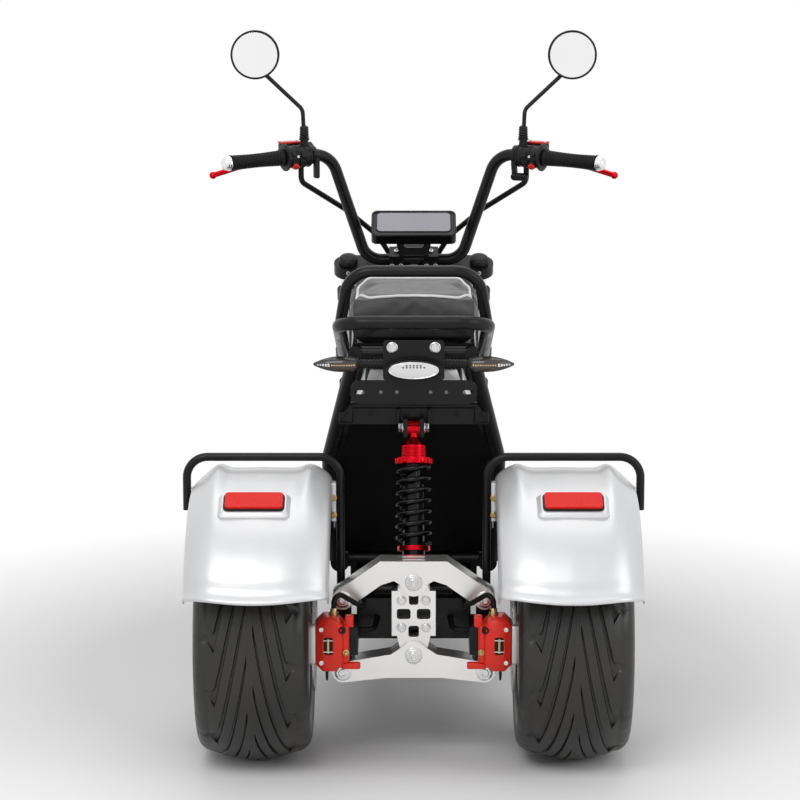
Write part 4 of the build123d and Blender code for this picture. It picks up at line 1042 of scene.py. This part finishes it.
def make_signal(side, hand):
    """One signal's smoked lens with amber diodes, bright facets at its tip, and ribs round its stalk."""
    stations = np.linspace(leaf_start + 3, leaf_end - 2, 22)
    columns = 13
    verts = []
    for x in stations:
        edge = min((x - stations[0]) / 5, (stations[-1] - x) / 9, 1.0)
        for k in range(columns):
            angle = math.radians(leaf_angle) * (2 * k / (columns - 1) - 1) * (0.55 + 0.45 * edge)
            r = leaf_radius(x) + 0.15 + 0.9 * math.sqrt(max(edge, 0)) * math.cos(angle * 1.2)
            ahead = signal_ahead - r * math.cos(angle)
            verts.append(place(side * x, ahead, signal_above + r * math.sin(angle)))
    faces = grid_faces(len(stations), columns)
    if side > 0:
        faces = [tuple(reversed(face)) for face in faces]
    made = piece(f"signal_lens_{hand}", verts, faces, smoked_lens, "chassis", 60)
    thicken(made, 0.8)
    line = Shapes()
    for i in range(10):
        x = leaf_start + 9 + 4.6 * i
        spot = place(side * x, signal_ahead - leaf_radius(x) - 0.9, signal_above)
        line.plate(3.0, 2.6, 0.8, 1.0, facing(spot, backward), 0.3)
    line.build(f"signal_diodes_{hand}", amber_led, "chassis")
    ribs = Shapes()
    for i in range(7):
        x = stalk_start + 3 + 6.2 * i
        radius = 9 - 2 * (x - stalk_start) / (leaf_start - stalk_start)
        ring_line = [(0, radius - 0.4), (0.8, radius + 1.7), (3.0, radius + 1.6), (3.8, radius - 0.5)]
        ribs.lathe(ring_line, place(side * x, signal_ahead, signal_above), (side, 0, 0), 28)
    ribs.build(f"signal_stalk_ribs_{hand}", black_plastic, "chassis")
    facet = Shapes()
    for i in range(5):
        x = leaf_start + 57 + 5 * i
        spot = place(side * x, signal_ahead - leaf_radius(x) - 0.7, signal_above)
        facet.plate(4.0, max(6.4 - i, 2.4), 0.8, 0.9, facing(spot, backward), 0.3)
    facet.build(f"signal_facets_{hand}", lamp_lens, "chassis")


for side, hand in sides:
    make_signal(side, hand)


# Rubber edges between the rear panel and the frame's loops

panel_edges = [
    # ahead, above, inner edge, outer edge
    (176, 381, 120, 142),
    (206, 340, 134, 152),
    (238, 300, 146, 162),
    (294, 192, 144, 158),
    (340, 104, 141, 152),
]
for side, hand in sides:
    strip = []
    for ahead, above, inner, outer in panel_edges:
        strip += [place(side * inner, ahead + 1.5, above), place(side * outer, ahead + 1.5, above)]
    faces = grid_faces(len(panel_edges), 2)
    edge = piece(f"panel_edge_{hand}", strip, faces, hose_rubber, "chassis")
    thicken(edge, 3.5, 0)


# The body's rear wall above the cross-member

wall_rows = [
    # ahead, above, half width
    (154, 489, 84),
    (171.5, 451.5, 95),
    (205.5, 386, 116),
]
wall_verts = []
for ahead, above, half in wall_rows:
    wall_verts += [place(-half, ahead, above), place(half, ahead, above)]
rear_wall = piece("body_rear_wall", wall_verts, grid_faces(len(wall_rows), 2), silver_paint, "chassis")
thicken(rear_wall, 3, 0)


# Rear cross-member: rolled edge, gussets and screws

cross_lip = Shapes()
cross_lip.tube([place(x, 152, 418) for x in np.linspace(-144, 144, 25)], 5.5, 14)
for side in (-1, 1):
    cross_lip.brick((side * 118, side * 146), (146, 153), (384, 419), 3)
    cross_lip.brick((side * 26, side * 34), (140, 153), (384, 414), 2.5)
cross_lip.build("cross_member_edge", black_paint, "chassis")
cross_screws = Shapes()
for x in (-132, -84, 84, 132):
    cross_screws.bolt(place(x, 146 if abs(x) > 100 else 152, 402), backward, 4.5, 3)
cross_screws.build("cross_member_screws", gloss_plastic, "chassis")


# Handlebar: places along it, controls, boots and screws

bar_elbow = Vector((182, 895, 841.5))
bar_way = (Vector((392, 785, 829.5)) - bar_elbow).normalized()
bar_front = Vector((-bar_way.y, bar_way.x, 0)).normalized()


def on_bar(side, along, ahead=0, up=0):
    """A point by its distance past an elbow of the handlebar, forward of the bar and above it."""
    at = bar_elbow + bar_way * along + bar_front * ahead + Vector((0, 0, up))
    return place(side * at.x, at.y, at.z)


def bar_matrix(side, along, ahead, up, turn):
    """A matrix on one side of the bar, facing a turn in degrees up from straight back."""
    back = Vector((-side * bar_front.x, -bar_front.y, 0))
    out = back * math.cos(math.radians(turn)) + Vector((0, 0, math.sin(math.radians(turn))))
    top = upward if abs(turn) < 80 else -back
    return facing(on_bar(side, along, ahead, up), out, top)


def make_controls(side, hand):
    """One hand's brake reservoir with a red lid, its switches, red button, grip and bar end."""
    way = (side * bar_way.x, bar_way.y, bar_way.z)
    black = Shapes()
    black.plate(46, 28, 6, 20, bar_matrix(side, 80, 36, 6, 90), 2)
    for along in (54, 66, 84):
        black.lathe([(0, 23.9), (0.6, 25.4), (2.4, 25.4), (3, 23.9)], on_bar(side, along), way, 40)
    flange = [(0, 23.9), (0.8, 28.6), (1.8, 29.6), (5, 29.6), (6, 28.6), (6.8, 23.9)]
    black.lathe(flange, on_bar(side, 105), way, 44)
    button = bar_matrix(side, 93, -17.9, -15.0, -40)
    black.lathe([(0, 9.6), (4, 9.6), (5, 8.8)], button.translation, button.col[2].to_3d(), 24)
    black.plate(11, 15, 3, 6, bar_matrix(side, 75, -22.4, 5.6, 14), 1.5)
    black.plate(9, 9, 3, 5, bar_matrix(side, 97, -22.4, 6.4, 16), 1.5)
    black.plate(14, 8, 2.5, 5, bar_matrix(side, 76, -21, -9.3, -24), 1.5)
    boot = [(0, 11.5), (3, 11.5)]
    for i in range(5):
        boot += [(4 + 5 * i, 9.0), (5.4 + 5 * i, 10.6 - 0.35 * i), (7.6 + 5 * i, 10.6 - 0.35 * i)]
    boot += [(28.6, 8.6), (31, 5.2)]
    black.lathe(boot, on_bar(side, 62, 0, 34), upward, 24)
    black.build(f"control_details_{hand}", black_plastic, "steering")
    red = Shapes()
    red.plate(48, 30, 7, 4, bar_matrix(side, 80, 36, 26, 90), 1.2)
    red.lathe([(4, 7.4), (8.6, 7.4), (10, 6.2), (10.5, 3.5)], button.translation, button.col[2].to_3d(), 24)
    red.build(f"control_reds_{hand}", red_button, "steering")
    bright = Shapes()
    for along in (62, 98):
        bright.bolt(on_bar(side, along, 36, 30), upward, 3.2, 2.2)
    bright.bolt(on_bar(side, 88, -23.8, 2), Vector((-side * bar_front.x, -bar_front.y, 0)), 3, 2)
    bright.bolt(on_bar(side, 109, 36.7, 5.2), upward, 4.6, 3)
    bright.build(f"control_screws_{hand}", steel, "steering")
    grip = Shapes()
    grip_line = [(0, 17), (0.6, 19.2), (3.4, 19.6), (5, 17.6)]
    for i in range(15):
        start = 9 + 7.2 * i
        radius = 17 - 1.9 * math.sin(math.pi * (start - 5) / 118)
        low = radius - 0.7
        grip_line += [(start, low), (start + 0.7, radius), (start + 5.4, radius), (start + 6.1, low)]
    grip_line += [(119, 16.6), (121, 17.4), (123.2, 17.2)]
    grip.lathe(grip_line, on_bar(side, 114.1), way, 40)
    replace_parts(grip.build(f"grip_{hand}", grip_rubber, "steering", 50), "grips")
    bullet = Shapes()
    bullet_line = [(0, 15.4), (1, 16), (6, 16), (7, 15.2), (8, 15.2)]
    bullet_line += [(13, 13.6), (17, 10.4), (19.2, 6.4), (20, 2.4)]
    bullet.lathe(bullet_line, on_bar(side, 237.4), way, 40)
    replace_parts(bullet.build(f"bar_end_{hand}", chrome, "steering", 40), "bar_ends")


for side, hand in sides:
    make_controls(side, hand)

left_clamp = Shapes()
clamp_ring = [(0, 12.75), (0, 19), (1, 20), (11, 20), (12, 19), (12, 12.75)]
left_clamp.lathe(clamp_ring, on_bar(-1, 38), (-bar_way.x, bar_way.y, bar_way.z), 32)
left_clamp.plate(14, 26, 5, 16, bar_matrix(-1, 44, 12, 8, 60), 2)
left_clamp.plate(11, 44, 4, 12, bar_matrix(-1, 40, -10, -28, 0), 2)
left_clamp.plate(13, 14, 4, 9, bar_matrix(-1, 44, -18, 4, 10), 2)
left_clamp.build("left_bar_clamp", black_plastic, "steering")
thumb = Shapes()
thumb_ring = [(0, 12.75), (0, 20), (1, 21), (8, 21), (9, 20), (9, 12.75)]
thumb.lathe(thumb_ring, on_bar(1, 41), bar_way, 32)
thumb.plate(11, 34, 4, 10, bar_matrix(1, 46, -6, -28, -10), 2)
thumb.plate(40, 15, 6, 11, bar_matrix(1, 62, -12, -43, -24), 2.5)
thumb.build("thumb_throttle", black_plastic, "steering")


# Display: glass and a raised frame

display_tilt = math.radians(32)
display_out = Vector((0, -math.sin(display_tilt), math.cos(display_tilt)))
display_matrix = facing(place(0, 915, 684.5), display_out)
screen_matrix = display_matrix @ Matrix.Translation((0, 5 * MM, 0))
glass = Shapes()
glass.plate(161, 64, 9, 1.0, screen_matrix, 0.5)
glass.build("display_screen", screen_glass, "steering")
bezel = Shapes()
bezel.ring(outline(180, 83, 11), display_matrix, 0, 3.0)
bezel.ring(outline(164, 67, 10), screen_matrix, 0.3, 1.6, 8)
bezel.build("display_frame", gloss_plastic, "steering")


# Steering head: caps, nuts and clamp screws

rake = math.radians(25)
fork_offset, fork_half = 45, 145
yoke_end = 32
steer_up = Vector((0, -math.sin(rake), math.cos(rake)))
steer_front = Vector((0, math.cos(rake), math.sin(rake)))
wheelbase = (front_axle.y - rear_axle.y) / MM


def on_steer(along, ahead=0, x=0):
    """A point by its distance up the steering axis from the axle's level, and forward of it."""
    at = Vector((x, wheelbase, 0)) + steer_front * (ahead - fork_offset) + steer_up * along
    return place(*at)


fork_caps = Shapes()
for side in (-1, 1):
    cap_foot = on_steer(650.2, fork_offset, side * fork_half)
    fork_caps.lathe([(0, 21), (11, 21), (14, 18.5), (16, 11)], cap_foot, steer_up, 32)
fork_caps.build("fork_caps", black_plastic, "steering")
head_fittings = Shapes()
for side in (-1, 1):
    for along in (398, 411, 631, 644):
        spot = on_steer(along, fork_offset - yoke_end, side * fork_half)
        head_fittings.bolt(spot, -steer_front, 4.5, 3.4)
    for x in (28, 48):
        head_fittings.bolt(on_steer(668, 7, side * x), -steer_front, 5.2, 4)
    head_fittings.bolt(on_steer(690, 28, side * 38), steer_up, 6, 4)
head_fittings.lathe([(0, 17), (9, 17), (10, 15.5)], on_steer(657.5), steer_up, 6)
head_fittings.build("steering_head_fittings", steel, "steering", 25)


# Axle nuts and motor cover screws of the rear wheels

hub_end = 372.3
motor_face = 360.0
cover_screws = 8
cover_ring = 84.0
for side, hand in sides:
    out = (side, 0, 0)
    axle_nuts = Shapes()
    axle_nuts.lathe([(0, 19), (2, 19), (2.4, 18.4)], place(side * hub_end, 0, 0), out, 32)
    axle_nuts.lathe([(0, 16.5), (10, 16.5), (12, 14.5)], place(side * (hub_end + 2.2), 0, 0), out, 6)
    axle_nuts.build(f"axle_nut_{hand}", steel, "chassis", 25)
    cover = Shapes()
    for i in range(cover_screws):
        angle = 2 * math.pi * (i + 0.5) / cover_screws
        spot = place(side * motor_face, cover_ring * math.cos(angle), cover_ring * math.sin(angle))
        cover.bolt(spot, out, 5.5, 4)
    cover.build(f"motor_cover_screws_{hand}", steel, f"rear_wheel_{hand}")


# Headlamp: a ring round its lens and a reflector behind it

headlamp_behind, headlamp_depth = 155, 34
headlamp_above = 539
lamp_front = wheelbase - headlamp_behind + headlamp_depth
lamp_face = facing(place(0, lamp_front, headlamp_above), forward)
lamp_ring = Shapes()
lamp_ring.ring(ellipse(76.5, 76.5, 64), lamp_face, 0, 3.6, 12)
lamp_ring.build("headlamp_ring", chrome, "steering", 60)
bowl = Shapes()
bowl_line = [(0.3, 72), (2.6, 72), (1.2, 62), (2.0, 60), (1.2, 34)]
bowl_line += [(3.6, 30), (3.6, 24), (6.4, 20), (7.4, 8)]
bowl.lathe(bowl_line, place(0, lamp_front, headlamp_above), forward, 48)
bowl.build("headlamp_reflector", chrome, "steering", 25)


# Stage: camera, floor and light

camera_back = 5300
camera_height = 1650
camera_pitch = 10.2133
focal_pixels = 2849
image_pixels = 800
middle_pixel = 413.7
sensor = 36.0
surround_light = 0.36
lamp_target = (0, -0.2, 0.5)
floor_reach = 30
floor_fade = (0.7, 1.5)


def make_camera():
    """The camera at the photograph's angle, behind the scooter and a little above it."""
    data = bpy.data.cameras.new("camera")
    data.sensor_width = sensor
    data.lens = sensor * focal_pixels / image_pixels
    data.shift_x = (image_pixels / 2 - middle_pixel) / image_pixels
    made = bpy.data.objects.new("camera", data)
    made.location = (0, rear_axle.y - camera_back * MM, camera_height * MM)
    made.rotation_euler = (math.radians(90 - camera_pitch), 0, 0)
    bpy.context.scene.collection.objects.link(made)
    bpy.context.scene.camera = made


def seen_directly(owner):
    """1 for rays from the camera, mirrors and clear things, 0 for light that falls on the object."""
    path = shader_node(owner, "ShaderNodeLightPath").outputs
    total = path["Is Camera Ray"]
    for name in ("Is Glossy Ray", "Is Transmission Ray"):
        both = {0: total, 1: path[name]}
        total = shader_node(owner, "ShaderNodeMath", both, operation="MAXIMUM").outputs[0]
    return total


def make_world(fill):
    """A white surround to look at, and a soft even fill that lights the object."""
    world = bpy.data.worlds.new("studio")
    bpy.context.scene.world = world
    world.use_nodes = True
    tree = world.node_tree
    light = tree.nodes["Background"]
    light.inputs["Color"].default_value = (1, 1, 1, 1)
    light.inputs["Strength"].default_value = fill
    backdrop = shader_node(world, "ShaderNodeBackground", {"Color": (1, 1, 1, 1), "Strength": 1.0})
    shares = {0: seen_directly(world), 1: light.outputs[0], 2: backdrop.outputs[0]}
    mix = shader_node(world, "ShaderNodeMixShader", shares)
    tree.links.new(mix.outputs[0], tree.nodes["World Output"].inputs["Surface"])


def make_floor():
    """A pale floor that takes the object's shadow and fades into the white surround."""
    mesh = bpy.data.meshes.new("floor")
    turns = ((-1, -1), (1, -1), (1, 1), (-1, 1))
    mesh.from_pydata([(x * floor_reach, y * floor_reach, 0) for x, y in turns], [], [(0, 1, 2, 3)])
    made = bpy.data.objects.new("floor", mesh)
    bpy.context.scene.collection.objects.link(made)
    coat = bpy.data.materials.new("floor_coat")
    coat.use_nodes = True
    tree = coat.node_tree
    shader = surface(coat)
    shader.inputs["Base Color"].default_value = (0.9, 0.9, 0.9, 1)
    shader.inputs["Roughness"].default_value = 0.6
    where = shader_node(coat, "ShaderNodeNewGeometry").outputs["Position"]
    distance = shader_node(coat, "ShaderNodeVectorMath", {0: where}, operation="LENGTH").outputs["Value"]
    fade = remap(coat, distance, 0, 1, *floor_fade)
    seen = seen_directly(coat)
    both = shader_node(coat, "ShaderNodeMath", {0: fade, 1: seen}, operation="MULTIPLY").outputs[0]
    white = shader_node(coat, "ShaderNodeEmission", {"Color": (1, 1, 1, 1), "Strength": 1.0}).outputs[0]
    mix = shader_node(coat, "ShaderNodeMixShader", {0: both, 1: shader.outputs[0], 2: white})
    tree.links.new(mix.outputs[0], tree.nodes["Material Output"].inputs["Surface"])
    mesh.materials.append(coat)


def make_softbox(name, location, target, size, power):
    """A large soft lamp aimed at a point."""
    data = bpy.data.lights.new(name, "AREA")
    data.shape = "RECTANGLE"
    data.size, data.size_y = size
    data.energy = power
    made = bpy.data.objects.new(name, data)
    made.location = location
    made.rotation_euler = (Vector(target) - Vector(location)).to_track_quat("-Z", "Y").to_euler()
    bpy.context.scene.collection.objects.link(made)


make_camera()
make_world(surround_light)
make_floor()
make_softbox("key_softbox", (-1.2, -3.4, 3.6), lamp_target, (2.4, 2.0), 62)
make_softbox("fill_softbox", (2.6, -2.2, 2.2), lamp_target, (1.6, 2.2), 22)
make_softbox("top_softbox", (0, 0.6, 4.2), lamp_target, (3.0, 3.0), 36)

bpy.context.scene.view_settings.view_transform = "Standard"
